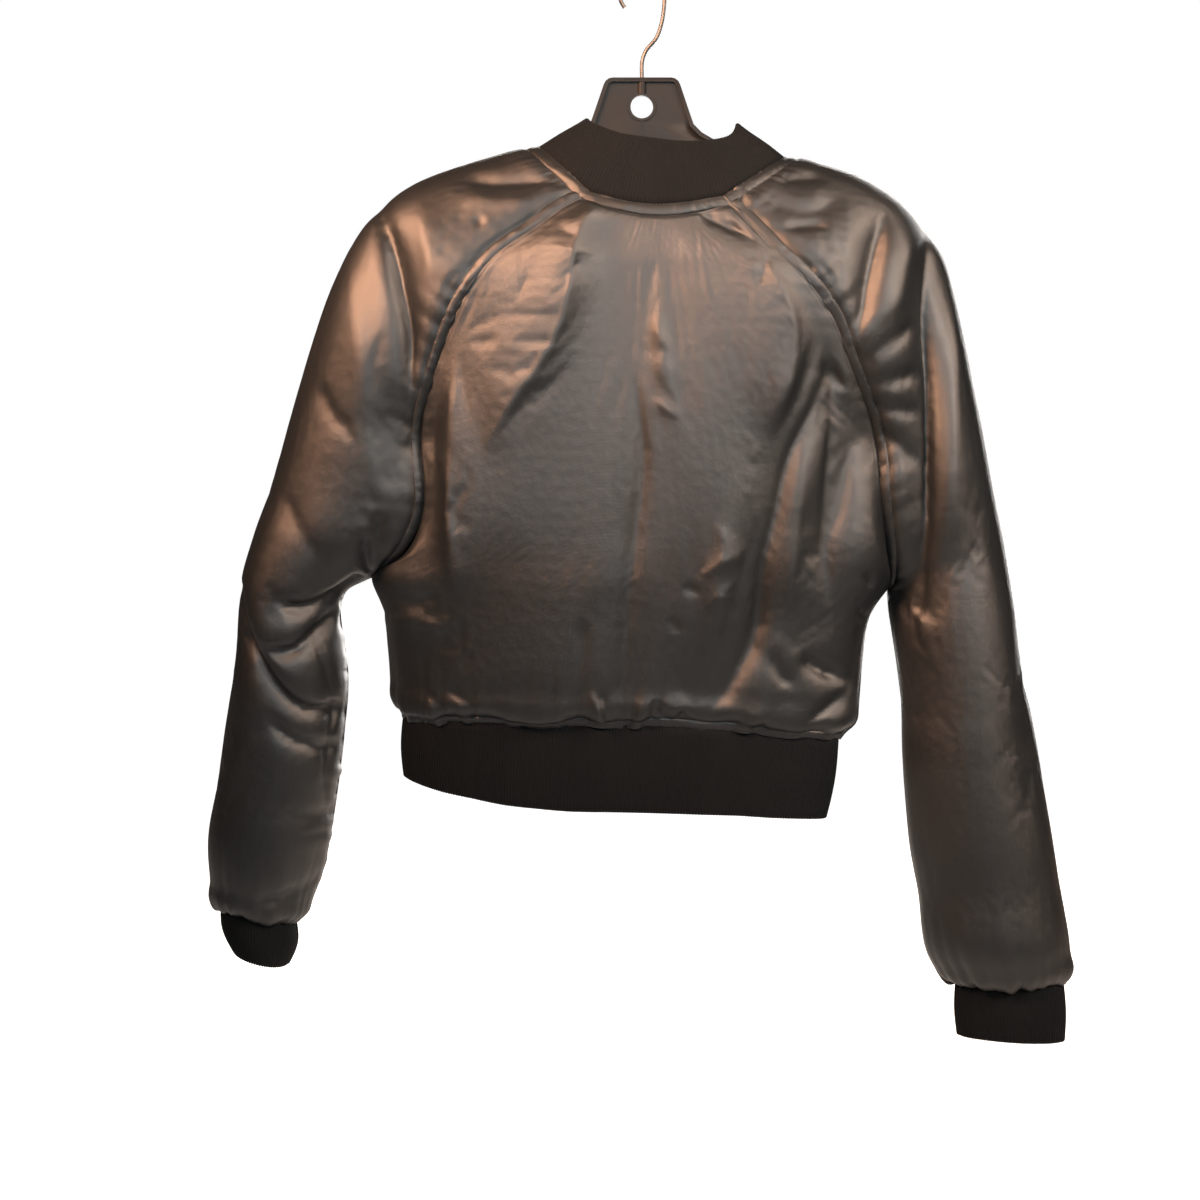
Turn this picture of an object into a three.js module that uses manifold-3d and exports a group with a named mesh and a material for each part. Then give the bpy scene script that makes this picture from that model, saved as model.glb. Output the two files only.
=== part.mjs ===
import * as THREE from 'three';
import { mergeVertices } from 'three/addons/utils/BufferGeometryUtils.js';
import Module from 'manifold-3d';

// A lightly padded satin bomber jacket with rib trims, hung on a plastic hanger with a wire hook.
// Millimetres. +Z is up, -Y is the jacket's front and +X is the wearer's left.
// The origin is the inner top of the hook, where a rail carries it.

// ---- driving dimensions

const shellWall = 4; // satin, wadding and lining together
const ribWall = 3; // double rib knit
const seamGap = 0.3; // clearance between pieces
const neckBandWidth = 7.4; // topstitched bands beside the seams
const raglanBandWidth = 7;
const hemBandWidth = 6;
const bandLift = 0.35; // underside of a band above its panel
const bandEdge = 0.9; // a band's thickness at its edges and its middle
const bandRise = 2.4;

const neckX = -15; // centre of the neck ring, beside the hook's axis
const collarTopHalf = 57; // the collar's top ring: half width, and its depths behind and in front
const collarTopBack = 27;
const collarTopFront = 56;
const collarBaseHalf = 93;
const collarBaseBack = 52;
const collarBaseFront = 66;
const collarBulge = 0.5; // how far the rib trims bulge between their edges
const hemBulge = 2;
const leftCuffBulge = 4; // pushed up, where the right one hangs straight
const rightCuffBulge = 1.5;

const frontSeamShift = 19; // the front raglan seam starts nearer the shoulder than the back one
const frontSeamRise = 12;
const underarmRow = 13; // the row of the tables where sleeve and body part

const zipHalf = 9; // from the centre line to the front panels' edges
const tapeInner = 3.2;
const tapeOuter = 8.8;
const tapeThickness = 1.4;
const chainHalf = 2.85;
const chainProud = 0.6;
const chainThickness = 2.6;

const wireRadius = 1.5;
const railRadius = 15.4; // inner radius of the hook
const hangerDepth = 7; // front to back, over the rims
const hangerWeb = 2.6;
const hangerRim = 3;
const hangerHole = 8.5; // radius

// ---- tables: a row for each section, from the neck down

const table = (names, rows) => {
  const keys = names.split(' ');
  return rows.map((row) => Object.fromEntries(keys.map((key, i) => [key, row[i]])));
};

// A sleeve's section: its top or outer line, its back seam line, its middle, its depths, and how far
// round the section the seams lie from the outer line. 180 degrees closes the sleeve at the underarm.
const sleeveColumns = 'outX outZ seamX seamZ midY back front arc';

const leftSleeveRows = table(sleeveColumns, [
  [78, -129, 39, -167, 0, 55, 50, 57],
  [103, -133, 61, -180, 0, 58, 54, 62],
  [133, -141, 81, -195, 0, 60, 57, 68],
  [164, -151, 102, -209, 0, 61, 59, 75],
  [189, -164, 116, -223, 0, 61, 60, 84],
  [209, -182, 128, -240, 0, 60, 60, 95],
  [223, -206, 140, -263, 0, 59, 59, 105],
  [236, -232, 151, -292, 0, 58, 58, 115],
  [250, -268, 161, -323, 0, 56, 57, 123],
  [266, -315, 165, -349, 0, 52, 56, 127],
  [280, -359, 163, -379, 0, 54, 57, 123],
  [291, -393, 166, -411, 0, 54, 57, 127],
  [297, -410, 182, -437, 0, 53, 56, 141],
  [302, -428, 207, -455, 0, 50, 53, 180],
  [312.5, -468, 229, -468, 0, 49, 51, 180],
  [314, -511, 228, -511, -4, 48, 50, 180],
  [320, -546, 227, -543, -8, 47, 48, 180],
  [327, -579, 231, -579, -12, 46, 47, 180],
  [334, -623, 237, -623, -14, 45, 46, 180],
  [341, -659, 243, -659, -16, 45, 45, 180],
  [340, -687, 249, -686, -18, 43, 43, 180],
  [336, -707, 257, -707, -20, 38, 38, 180],
  [330, -714, 271, -729, -20, 26, 26, 180],
]);

const rightSleeveRows = table(sleeveColumns, [
  [-108, -137, -59, -170, 0, 55, 50, 57],
  [-129, -140, -73, -185, 0, 59, 54, 62],
  [-148, -145, -87, -200, 0, 62.5, 57, 68],
  [-165, -151, -101, -215, 0, 64.5, 59, 75],
  [-186, -162, -116, -229, 0, 64.5, 60, 84],
  [-202, -175, -127, -242, 0, 63.5, 60, 95],
  [-220, -193, -142, -265, 0, 61.5, 59, 105],
  [-232, -220, -153, -294, 0, 59.5, 58, 115],
  [-239, -256, -166, -323, 0, 56, 57, 123],
  [-248, -295, -175, -353, 0, 52, 56, 127],
  [-261, -342, -178, -383, 0, 52, 56, 126],
  [-270, -384, -182, -416, 0, 51, 55, 133],
  [-276, -408, -187, -441, 0, 50, 54, 147],
  [-281, -430, -190, -463, 0, 50, 53, 180],
  [-289, -477, -190, -478, 4, 49, 50, 180],
  [-296, -515, -196, -515, 6, 48, 48, 180],
  [-303, -552, -200, -552, 8, 47, 47, 180],
  [-309, -589, -201, -589, 10, 46, 46, 180],
  [-315, -627, -204, -626, 12, 45, 45, 180],
  [-321, -664, -208, -664, 14, 44, 44, 180],
  [-327, -703, -215, -703, 16, 42, 42, 180],
  [-332, -747, -225, -751, 18, 38, 38, 180],
  [-327, -765, -243, -766, 18, 20, 20, 180],
]);

const [leftCuffEnd] = table(sleeveColumns, [[321, -751, 278, -764, -22, 29, 29, 180]]);
const [rightCuffEnd] = table(sleeveColumns, [[-329, -814, -245, -809, 18, 17, 17, 180]]);

// The body above the underarm hangs between the sleeves' seams: the back's middle, how far it sags
// below the seams, and the zip's line.
const yokeRows = table('backY sag zipX zipY zipZ', [
  [52, 8, -15, -66, -219],
  [57, 5, -15, -66, -242],
  [60, 3, -15, -66, -264],
  [63, 1, -15, -67, -286],
  [65, 0, -14, -68, -307],
  [67, 0, -12.5, -70, -328],
  [69, 0, -10.5, -72, -348],
  [71, 0, -8, -74, -367],
  [72, 0, -5.5, -76, -386],
  [72, 0, -3, -77, -404],
  [72, 0, -0.5, -78, -422],
  [72, 0, 2, -78, -438],
  [72, 0, 4, -78, -450],
  [71, 0, 6, -78, -461],
]);

// Below it runs between the side seams. back and front are depths from the line between them.
const trunkColumns = 'leftX leftY leftZ rightX rightY rightZ back front lift';
const trunkRows = table(trunkColumns, [
  [199, -4, -473, -180, 4, -474, 70, 77, 0],
  [196, -8, -500, -172, 8, -499, 69, 76, 0],
  [195, -12, -524, -169, 12, -524, 68, 75, 0],
  [193, -16, -543, -167, 16, -545, 66, 73, 2],
  [189, -19, -555, -163, 19, -561, 61, 67, 5],
  [185, -20, -563, -151, 20, -577, 52, 56, 8],
]);
const [hemEnd] = table(trunkColumns, [[185, -20, -612, -142, 20, -639, 49, 53, -4]]);

// The height of the collar's top edge round the neck, from the left shoulder over the back.
const collarTopRows = table('angle z', [
  [-90, -176],
  [-60, -163],
  [-30, -134],
  [0, -108],
  [30, -113],
  [60, -121],
  [90, -125],
  [120, -126],
  [150, -121],
  [180, -111],
  [210, -136],
  [240, -163],
  [270, -176],
]);

// The largest folds, as soft troughs through three points: side is 1 behind and -1 in front.
const foldRows = table('side fromX fromZ midX midZ toX toZ width depth', [
  [1, -1, -247, -4, -390, -9, -530, 26, 5],
  [1, -156, -345, -116, -437, -50, -535, 23, 8],
  [1, 134, -345, 140, -420, 146, -500, 22, 5],
  [1, -214, -230, -206, -350, -203, -480, 21, 4],
  [-1, 125, -300, 95, -400, 60, -500, 26, 6],
  [-1, -135, -310, -110, -410, -80, -500, 26, 6],
]);

// ---- helpers

const radians = THREE.MathUtils.degToRad;
const mix = THREE.MathUtils.lerp;
const vec = (x, y, z) => new THREE.Vector3(x, y, z);
const keyOf = (p) => p.toArray().map((v) => Math.round(v * 1000)).join();
const range = (n) => Array.from({ length: n }, (_, i) => i);

function lengths(line) {
  const along = [0];
  for (let i = 1; i < line.length; i += 1) {
    along.push(along[i - 1] + line[i].distanceTo(line[i - 1]));
  }
  return along;
}

// The points of a line at the given shares of its length.
function pointsAt(line, shares) {
  const along = lengths(line);
  const total = along.at(-1);
  return shares.map((share) => {
    const at = share * total;
    let i = 1;
    while (i < line.length - 1 && along[i] < at) i += 1;
    const part = (at - along[i - 1]) / (along[i] - along[i - 1]);
    return line[i - 1].clone().lerp(line[i], THREE.MathUtils.clamp(part, 0, 1));
  });
}

// A row beside row `from`, a band's width towards row `to`.
function bandRow(grid, from, to, width) {
  return grid[from].map((p, c) => {
    const step = grid[to][c].clone().sub(p);
    return p.clone().addScaledVector(step, width / step.length());
  });
}

// ---- sleeves

const sectionSteps = 60;
const sleeveHalfColumns = 7; // the last is the band beside the seam

// Half a section, from the outer line to the seam.
function sleeveHalf(row, index, back) {
  const fade = index < underarmRow ? (1 - index / underarmRow) ** 1.5 : 0;
  const seamX = row.seamX + (back ? 0 : Math.sign(row.outX) * frontSeamShift * fade);
  const seamZ = row.seamZ + (back ? 0 : frontSeamRise * fade);
  const depth = back ? row.back : -row.front;
  const full = radians(row.arc);
  return range(sectionSteps + 1).map((i) => {
    const angle = (full * i) / sectionSteps;
    const share = (1 - Math.cos(angle)) / (1 - Math.cos(full));
    return vec(
      mix(row.outX, seamX, share),
      row.midY + depth * Math.sin(angle),
      mix(row.outZ, seamZ, share),
    );
  });
}

// Shares of a half section's length: equal steps, and one band's width beside the seam.
function halfShares(line) {
  const band = 1 - raglanBandWidth / lengths(line).at(-1);
  const steps = range(sleeveHalfColumns).map((i) => (band * i) / (sleeveHalfColumns - 1));
  return [...steps, 1];
}

// One row, from the back seam over the outer line to the front seam.
function sleeveRow(row, index) {
  const [behind, before] = [true, false].map((back) => {
    const line = sleeveHalf(row, index, back);
    return pointsAt(line, halfShares(line));
  });
  return [...behind.reverse(), ...before.slice(1)];
}

function sleeveGrid(rows, left) {
  const grid = rows.map((row, index) => sleeveRow(row, index));
  grid.splice(1, 0, bandRow(grid, 0, 1, neckBandWidth));
  return left ? grid.map((row) => row.reverse()) : grid;
}

const leftSleeve = sleeveGrid(leftSleeveRows, true);
const rightSleeve = sleeveGrid(rightSleeveRows, false);

// ---- body

const backColumns = 18;
const frontColumns = 10;

// The bulge of a body row across its half: flat at the yoke, rounding to an ellipse at the waist, and
// fuller again beside the underarm, where the seams come together.
function bulge(index, share) {
  const round = THREE.MathUtils.clamp((index - 6) / 6, 0, 1);
  const full = Math.max(0, 1 - Math.abs(index - underarmRow) / 3);
  return (1 - (1 - share) ** (2 + 0.4 * round)) ** (1 / (1 + round + full));
}

// The seam points and the middles of one body row.
function bodyFrame(index) {
  if (index <= underarmRow) {
    const left = leftSleeveRows[index];
    const right = rightSleeveRows[index];
    const yoke = yokeRows[index];
    const ends = [left, right].flatMap((row) => [
      sleeveHalf(row, index, true).at(-1),
      sleeveHalf(row, index, false).at(-1),
    ]);
    const [leftBack, leftFront, rightBack, rightFront] = ends;
    const middleBack = leftBack.clone().lerp(rightBack, 0.5);
    return {
      leftBack,
      rightBack,
      leftFront,
      rightFront,
      across: vec(1, 0, 0),
      middleBack: vec(middleBack.x, yoke.backY, middleBack.z - yoke.sag),
      middleFront: vec(yoke.zipX, yoke.zipY, yoke.zipZ),
    };
  }
  return trunkFrame(trunkRows[index - underarmRow - 1]);
}

function trunkFrame(row) {
  const left = vec(row.leftX, row.leftY, row.leftZ);
  const right = vec(row.rightX, row.rightY, row.rightZ);
  const across = vec(left.x - right.x, left.y - right.y, 0).normalize();
  const rear = vec(-across.y, across.x, 0);
  const middle = left.clone().lerp(right, 0.5);
  const raised = middle.clone().add(vec(0, 0, row.lift));
  return {
    leftBack: left,
    rightBack: right,
    leftFront: left,
    rightFront: right,
    across,
    middleBack: raised.clone().addScaledVector(rear, row.back),
    middleFront: raised.clone().addScaledVector(rear, -row.front),
  };
}

// Half a body row, from a seam to the middle.
function halfRow(seam, middle, index) {
  return range(sectionSteps + 1).map((i) => {
    const share = 1 - Math.cos((Math.PI / 2) * (i / sectionSteps));
    const rise = bulge(index, share);
    const drop = Math.sin((Math.PI / 2) * share);
    return vec(mix(seam.x, middle.x, share), mix(seam.y, middle.y, rise), mix(seam.z, middle.z, drop));
  });
}

const even = (n) => range(n + 1).map((i) => i / n);

function backRow(frame, index) {
  const left = halfRow(frame.leftBack, frame.middleBack, index);
  const right = halfRow(frame.rightBack, frame.middleBack, index);
  return pointsAt([...left, ...right.reverse().slice(1)], even(backColumns));
}

function frontRow(frame, index, side) {
  const seam = side > 0 ? frame.leftFront : frame.rightFront;
  const edge = frame.middleFront.clone().addScaledVector(frame.across, side * zipHalf);
  const points = pointsAt(halfRow(seam, edge, index), even(frontColumns));
  return side > 0 ? points.reverse() : points;
}

const bodyFrames = range(underarmRow + 1 + trunkRows.length).map(bodyFrame);
const lastRow = bodyFrames.length - 1;

function bodyGrid(rowOf) {
  const grid = bodyFrames.map((frame, index) => rowOf(frame, index));
  grid.splice(lastRow, 0, bandRow(grid, lastRow, lastRow - 1, hemBandWidth));
  grid.splice(1, 0, bandRow(grid, 0, 1, neckBandWidth));
  return grid;
}

const backPanel = bodyGrid(backRow);
const leftFront = bodyGrid((frame, index) => frontRow(frame, index, 1));
const rightFront = bodyGrid((frame, index) => frontRow(frame, index, -1));

// ---- rib trims

// One row right round the garment, from the zip's left edge over the back to its right edge.
const ringOf = (...parts) => parts.flatMap((part, i) => (i ? part.slice(1) : part));

const neckRing = ringOf(leftFront[0], leftSleeve[0], backPanel[0], rightSleeve[0], rightFront[0]);
const hemRing = ringOf(leftFront.at(-1), backPanel.at(-1), rightFront.at(-1));

const collarAngles = collarTopRows.map((row) => row.angle);
const collarHeights = new THREE.CubicInterpolant(collarAngles, collarTopRows.map((row) => row.z), 1);

function collarTop(base) {
  const deep = base.y > 0 ? collarBaseBack : collarBaseFront;
  let angle = Math.atan2(base.y / deep, (base.x - neckX) / collarBaseHalf);
  if (angle < -Math.PI / 2) angle += 2 * Math.PI;
  const depth = base.y > 0 ? collarTopBack : collarTopFront;
  const x = neckX + collarTopHalf * Math.cos(angle);
  const y = depth * Math.sin(angle);
  return vec(x, y, collarHeights.evaluate(THREE.MathUtils.radToDeg(angle))[0]);
}

// Rows from one ring to another, bulging outwards between them.
function ribGrid(first, last, steps, proud) {
  const centre = first.reduce((sum, p) => sum.add(p), vec(0, 0, 0)).divideScalar(first.length);
  return even(steps).map((t) =>
    first.map((p, c) => {
      const out = vec(p.x - centre.x, p.y - centre.y, 0).normalize();
      return p.clone().lerp(last[c], t).addScaledVector(out, proud * Math.sin(Math.PI * t));
    }),
  );
}

const collarTopRing = neckRing.map(collarTop);
const collar = ribGrid(collarTopRing, neckRing, 2, collarBulge);

const hemFrame = trunkFrame(hemEnd);
const hemBottom = ringOf(
  frontRow(hemFrame, lastRow, 1),
  backRow(hemFrame, lastRow),
  frontRow(hemFrame, lastRow, -1),
);
const hemRib = ribGrid(hemRing, hemBottom, 2, hemBulge);

const leftCuffBottom = sleeveRow(leftCuffEnd, underarmRow).reverse();
const leftCuff = ribGrid(leftSleeve.at(-1), leftCuffBottom, 2, leftCuffBulge);
const rightCuffBottom = sleeveRow(rightCuffEnd, underarmRow);
const rightCuff = ribGrid(rightSleeve.at(-1), rightCuffBottom, 2, rightCuffBulge);

// ---- folds, and the direction out of the cloth at every point

const shells = [backPanel, leftFront, rightFront, leftSleeve, rightSleeve];
const ribs = [collar, hemRib, leftCuff, rightCuff];

function outwardMap(grids) {
  const sums = new Map();
  for (const grid of grids) {
    for (let r = 0; r < grid.length - 1; r += 1) {
      for (let c = 0; c < grid[r].length - 1; c += 1) {
        const corners = [grid[r][c], grid[r][c + 1], grid[r + 1][c + 1], grid[r + 1][c]];
        const diagonal = corners[2].clone().sub(corners[0]);
        const normal = diagonal.cross(corners[1].clone().sub(corners[3])).normalize();
        for (const p of corners) {
          const key = keyOf(p);
          if (!sums.has(key)) sums.set(key, vec(0, 0, 0));
          sums.get(key).add(normal);
        }
      }
    }
  }
  for (const sum of sums.values()) sum.normalize();
  return sums;
}

function foldDepth(p, side) {
  const at = vec(p.x, 0, p.z);
  return foldRows.reduce((sum, fold) => {
    const bend = vec(fold.midX, 0, fold.midZ);
    const upper = new THREE.Line3(vec(fold.fromX, 0, fold.fromZ), bend);
    const lower = new THREE.Line3(bend, vec(fold.toX, 0, fold.toZ));
    const offs = [upper, lower].map((line) => {
      return line.closestPointToPoint(at, true, vec(0, 0, 0)).distanceTo(at);
    });
    const weight = THREE.MathUtils.clamp(side * fold.side * 2, 0, 1);
    return sum + weight * fold.depth * Math.exp(-((Math.min(...offs) / fold.width) ** 2));
  }, 0);
}

const underarms = new Set([leftSleeve, rightSleeve].map((grid) => keyOf(grid[underarmRow + 1][0])));
const held = new Set([...ribs.flat(2).map(keyOf), ...underarms]);
const smoothOut = outwardMap([...shells, ...ribs]);
for (const grid of shells) {
  grid.forEach((row, r) => {
    grid[r] = row.map((p) => {
      const key = keyOf(p);
      const out = smoothOut.get(key);
      return held.has(key) ? p : p.clone().addScaledVector(out, -foldDepth(p, out.y));
    });
  });
}
const outward = outwardMap([...shells, ...ribs]);
const outAt = (p) => outward.get(keyOf(p));

// Where the sleeve parts from the body, each keeps its own direction.
function outwardOf(grids) {
  const own = outwardMap(grids);
  return (p) => (underarms.has(keyOf(p)) ? own.get(keyOf(p)) : outAt(p));
}
const outOfBody = outwardOf([backPanel, leftFront, rightFront]);
const outOfSleeve = outwardOf([leftSleeve, rightSleeve]);

// ---- solids

function geometryOf(points, faces) {
  const geometry = new THREE.BufferGeometry();
  geometry.setAttribute(
    'position',
    new THREE.Float32BufferAttribute(points.flatMap((p) => [p.x, p.y, p.z]), 3),
  );
  geometry.setIndex(faces.flat());
  return geometry;
}

// Half the seam gap, in the cloth and square to the edge through before and after, towards inside.
function inset(p, before, after, inside, out) {
  const side = after.clone().sub(before).cross(out).normalize();
  const sign = Math.sign(side.dot(inside.clone().sub(p))) || 1;
  return side.multiplyScalar((sign * seamGap) / 2);
}

// A panel: its grid outside, the same grid one wall further in, and rims between the two.
function panelSolid(grid, wall, outOf = outAt) {
  const lastR = grid.length - 1;
  const lastC = grid[0].length - 1;
  const outer = [];
  const inner = [];
  const clampR = (r) => THREE.MathUtils.clamp(r, 0, lastR);
  const clampC = (c) => THREE.MathUtils.clamp(c, 0, lastC);
  grid.forEach((row, r) => {
    row.forEach((p, c) => {
      const out = outOf(p);
      const moved = p.clone();
      if (r === 0 || r === lastR) {
        const inside = grid[r ? r - 1 : 1][c];
        moved.add(inset(p, row[clampC(c - 1)], row[clampC(c + 1)], inside, out));
      }
      if (c === 0 || c === lastC) {
        const inside = row[c ? c - 1 : 1];
        moved.add(inset(p, grid[clampR(r - 1)][c], grid[clampR(r + 1)][c], inside, out));
      }
      outer.push(moved);
      inner.push(moved.clone().addScaledVector(out, -wall));
    });
  });
  const at = (r, c) => r * (lastC + 1) + c;
  const into = (r, c) => at(r, c) + outer.length;
  // Each square is split along its shorter diagonal, but for those at the edges, which carry the bands.
  const inside = (i, last) => i > 0 && i < last - 1;
  const faces = [];
  for (let r = 0; r < lastR; r += 1) {
    for (let c = 0; c < lastC; c += 1) {
      const corners = [at(r, c), at(r + 1, c), at(r + 1, c + 1), at(r, c + 1)];
      const [a, b, d, e] = corners.map((i) => outer[i]);
      const turned = inside(r, lastR) && inside(c, lastC) && a.distanceTo(d) < b.distanceTo(e);
      const split = turned ? [[0, 1, 2], [0, 2, 3]] : [[0, 1, 3], [3, 1, 2]];
      for (const triangle of split) {
        faces.push(triangle.map((k) => corners[k]));
        faces.push(triangle.map((k) => corners[k] + outer.length).reverse());
      }
    }
  }
  const rim = (a, b, innerA, innerB) => {
    faces.push([a, b, innerB]);
    faces.push([a, innerB, innerA]);
  };
  for (let c = 0; c < lastC; c += 1) {
    rim(at(0, c), at(0, c + 1), into(0, c), into(0, c + 1));
    rim(at(lastR, c + 1), at(lastR, c), into(lastR, c + 1), into(lastR, c));
  }
  for (let r = 0; r < lastR; r += 1) {
    rim(at(r + 1, 0), at(r, 0), into(r + 1, 0), into(r, 0));
    rim(at(r, lastC), at(r + 1, lastC), into(r, lastC), into(r + 1, lastC));
  }
  return geometryOf([...outer, ...inner], faces);
}

// A strip whose closed sections all have the same number of points, with flat ends.
function stripSolid(sections) {
  const n = sections[0].length;
  const faces = [];
  for (let i = 0; i < sections.length - 1; i += 1) {
    for (let j = 0; j < n; j += 1) {
      const [a, b] = [i * n + j, i * n + ((j + 1) % n)];
      faces.push([a, b, a + n]);
      faces.push([b, b + n, a + n]);
    }
  }
  const last = (sections.length - 1) * n;
  for (let j = 1; j < n - 1; j += 1) {
    faces.push([0, j + 1, j]);
    faces.push([last, last + j, last + j + 1]);
  }
  const points = sections.flat();
  const volume = faces.reduce((sum, [a, b, c]) => {
    return sum + points[a].dot(points[b].clone().cross(points[c]));
  }, 0);
  return geometryOf(points, volume > 0 ? faces : faces.map(([a, b, c]) => [a, c, b]));
}

// A puffed band between two lines of a panel's points, moved out.
function bandSection(p, q, outP, outQ) {
  const middle = p.clone().lerp(q, 0.5);
  const outMiddle = outP.clone().add(outQ).normalize();
  return [
    p.clone().addScaledVector(outP, bandLift),
    q.clone().addScaledVector(outQ, bandLift),
    q.clone().addScaledVector(outQ, bandLift + bandEdge),
    middle.addScaledVector(outMiddle, bandLift + bandRise),
    p.clone().addScaledVector(outP, bandLift + bandEdge),
  ];
}

const bandSolid = (first, second) =>
  stripSolid(first.map((p, i) => bandSection(p, second[i], outAt(p), outAt(second[i]))));

// A raglan band lies on the sleeve beside its seam, from the neck band to just above the underarm.
function raglanBand(sleeve, atStart) {
  const edge = atStart ? 0 : sleeve[0].length - 1;
  const beside = atStart ? 1 : edge - 1;
  const [first, second] = atStart ? [edge, beside] : [beside, edge];
  const rows = sleeve.slice(1, underarmRow + 1);
  const sections = rows.map((row) => {
    return bandSection(row[first], row[second], outOfSleeve(row[first]), outOfSleeve(row[second]));
  });
  const ends = [sections[0], sections.at(-1)];
  const nexts = [sections[1], sections.at(-2)];
  const gaps = [0.6, 1]; // clear of the neck band, and of the seams that meet at the underarm
  ends.forEach((section, e) => {
    section.forEach((p, i) => {
      const step = nexts[e][i].clone().sub(p);
      p.addScaledVector(step, gaps[e] / step.length());
    });
  });
  return stripSolid(sections);
}

// ---- zip

const zipFrames = bodyFrames.map((frame) => ({ at: frame.middleFront, across: frame.across }));
for (const t of [1 / 3, 2 / 3, 1]) {
  const seam = zipFrames[lastRow];
  zipFrames.push({
    at: seam.at.clone().lerp(hemFrame.middleFront, t),
    across: seam.across.clone().lerp(hemFrame.across, t).normalize(),
  });
}

// A strip of the zip between two distances across the centre line and two depths from the cloth.
function zipStrip(from, to, proud, deep) {
  const corners = [[from, proud], [to, proud], [to, -deep], [from, -deep]];
  return stripSolid(
    zipFrames.map(({ at, across }, i) => {
      const before = zipFrames[Math.max(i - 1, 0)].at;
      const after = zipFrames[Math.min(i + 1, zipFrames.length - 1)].at;
      const out = after.clone().sub(before).cross(across).normalize();
      return corners.map(([u, n]) => at.clone().addScaledVector(across, u).addScaledVector(out, n));
    }),
  );
}

// ---- hard pieces are joined and cut as solids

const wasm = await Module();
wasm.setup();

function solidOf(geometry) {
  const bare = geometry.clone();
  bare.deleteAttribute('normal');
  bare.deleteAttribute('uv');
  const merged = mergeVertices(bare, 1e-4);
  const vertProperties = new Float32Array(merged.attributes.position.array);
  const triVerts = new Uint32Array(merged.index.array);
  return new wasm.Manifold(new wasm.Mesh({ numProp: 3, vertProperties, triVerts }));
}

function geometryFrom(solid) {
  const mesh = solid.getMesh();
  const geometry = new THREE.BufferGeometry();
  geometry.setAttribute('position', new THREE.Float32BufferAttribute(mesh.vertProperties, 3));
  geometry.setIndex(Array.from(mesh.triVerts));
  return geometry;
}

const joined = (...geometries) => geometries.map(solidOf).reduce((a, b) => a.add(b));

// An outline in X and Z, extruded to a depth about a middle Y.
function plate(shape, depth, middleY = 0, curveSegments = 10) {
  const geometry = new THREE.ExtrudeGeometry(shape, { depth, bevelEnabled: false, curveSegments });
  return geometry.rotateX(Math.PI / 2).translate(0, middleY + depth / 2, 0);
}

function box(x0, x1, y0, y1, z0, z1) {
  const geometry = new THREE.BoxGeometry(x1 - x0, y1 - y0, z1 - z0);
  return geometry.translate((x0 + x1) / 2, (y0 + y1) / 2, (z0 + z1) / 2);
}

// ---- zip slider and pull tab

const sliderTop = yokeRows[0].zipZ - 3;
const sliderHeight = 12;
const sliderHalf = 4.2;
const sliderThickness = 2;
const bailInner = 1.2;
const bailOuter = 2.6;
const bailHalf = 0.8; // half its thickness along X
const tabReach = 2.2; // from the slider's face to the tab's axis
const tabBar = 0.8; // radius of the bar that turns in the bail
const tabSlotHalf = 1.4;
const tabSlotEnd = 3.4;
const tabHalf = 3.1;
const tabLength = 27;
const tabThickness = 1.4;

const sliderBack = yokeRows[0].zipY - chainProud - 0.35;
const sliderFace = sliderBack - sliderThickness;
const tabAxis = vec(neckX, sliderFace - tabReach, sliderTop - 5);

function sliderSolid() {
  const outline = new THREE.Shape();
  outline.moveTo(-sliderHalf, 0);
  outline.lineTo(-sliderHalf * 0.8, -sliderHeight);
  outline.lineTo(sliderHalf * 0.8, -sliderHeight);
  outline.lineTo(sliderHalf, 0);
  outline.quadraticCurveTo(0, 2.4, -sliderHalf, 0);
  const body = plate(outline, sliderThickness, sliderFace + sliderThickness / 2, 4);
  body.translate(neckX, 0, sliderTop);

  const bail = new THREE.Shape();
  bail.moveTo(tabReach + 0.5, -bailOuter);
  bail.lineTo(tabReach + 0.5, bailOuter);
  bail.lineTo(0, bailOuter);
  bail.absarc(0, 0, bailOuter, Math.PI / 2, (3 * Math.PI) / 2, false);
  const slot = new THREE.Path();
  slot.moveTo(tabReach, bailInner);
  slot.lineTo(0, bailInner);
  slot.absarc(0, 0, bailInner, Math.PI / 2, (3 * Math.PI) / 2, false);
  slot.lineTo(tabReach, -bailInner);
  bail.holes.push(slot);
  const options = { depth: 2 * bailHalf, bevelEnabled: false, curveSegments: 10 };
  const arch = new THREE.ExtrudeGeometry(bail, options);
  arch.applyMatrix4(new THREE.Matrix4().makeBasis(vec(0, 1, 0), vec(0, 0, 1), vec(1, 0, 0)));
  arch.translate(tabAxis.x - bailHalf, tabAxis.y, tabAxis.z);
  return joined(body, arch);
}

function tabSolid() {
  const outline = new THREE.Shape();
  outline.moveTo(-tabHalf, 0);
  outline.lineTo(-tabHalf * 0.8, -tabLength + 3);
  outline.quadraticCurveTo(-tabHalf * 0.7, -tabLength, 0, -tabLength);
  outline.quadraticCurveTo(tabHalf * 0.7, -tabLength, tabHalf * 0.8, -tabLength + 3);
  outline.lineTo(tabHalf, 0);
  const leaf = plate(outline, tabThickness, 0, 5);
  const slot = box(-tabSlotHalf, tabSlotHalf, -2, 2, -tabSlotEnd, 3);
  const bar = new THREE.CylinderGeometry(tabBar, tabBar, 2 * tabHalf, 12).rotateZ(Math.PI / 2);
  const slotted = solidOf(leaf).subtract(solidOf(slot));
  return slotted.add(solidOf(bar)).translate([tabAxis.x, tabAxis.y, tabAxis.z]);
}

// ---- hanger

const plateTop = -78;
const plateTopHalf = 29;
const plateCorner = 7;
const holeZ = -99.5;
const socketRadius = 3.4;
const socketDepth = 13;
const ribFoot = -160; // the thin rib below the hole

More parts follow.
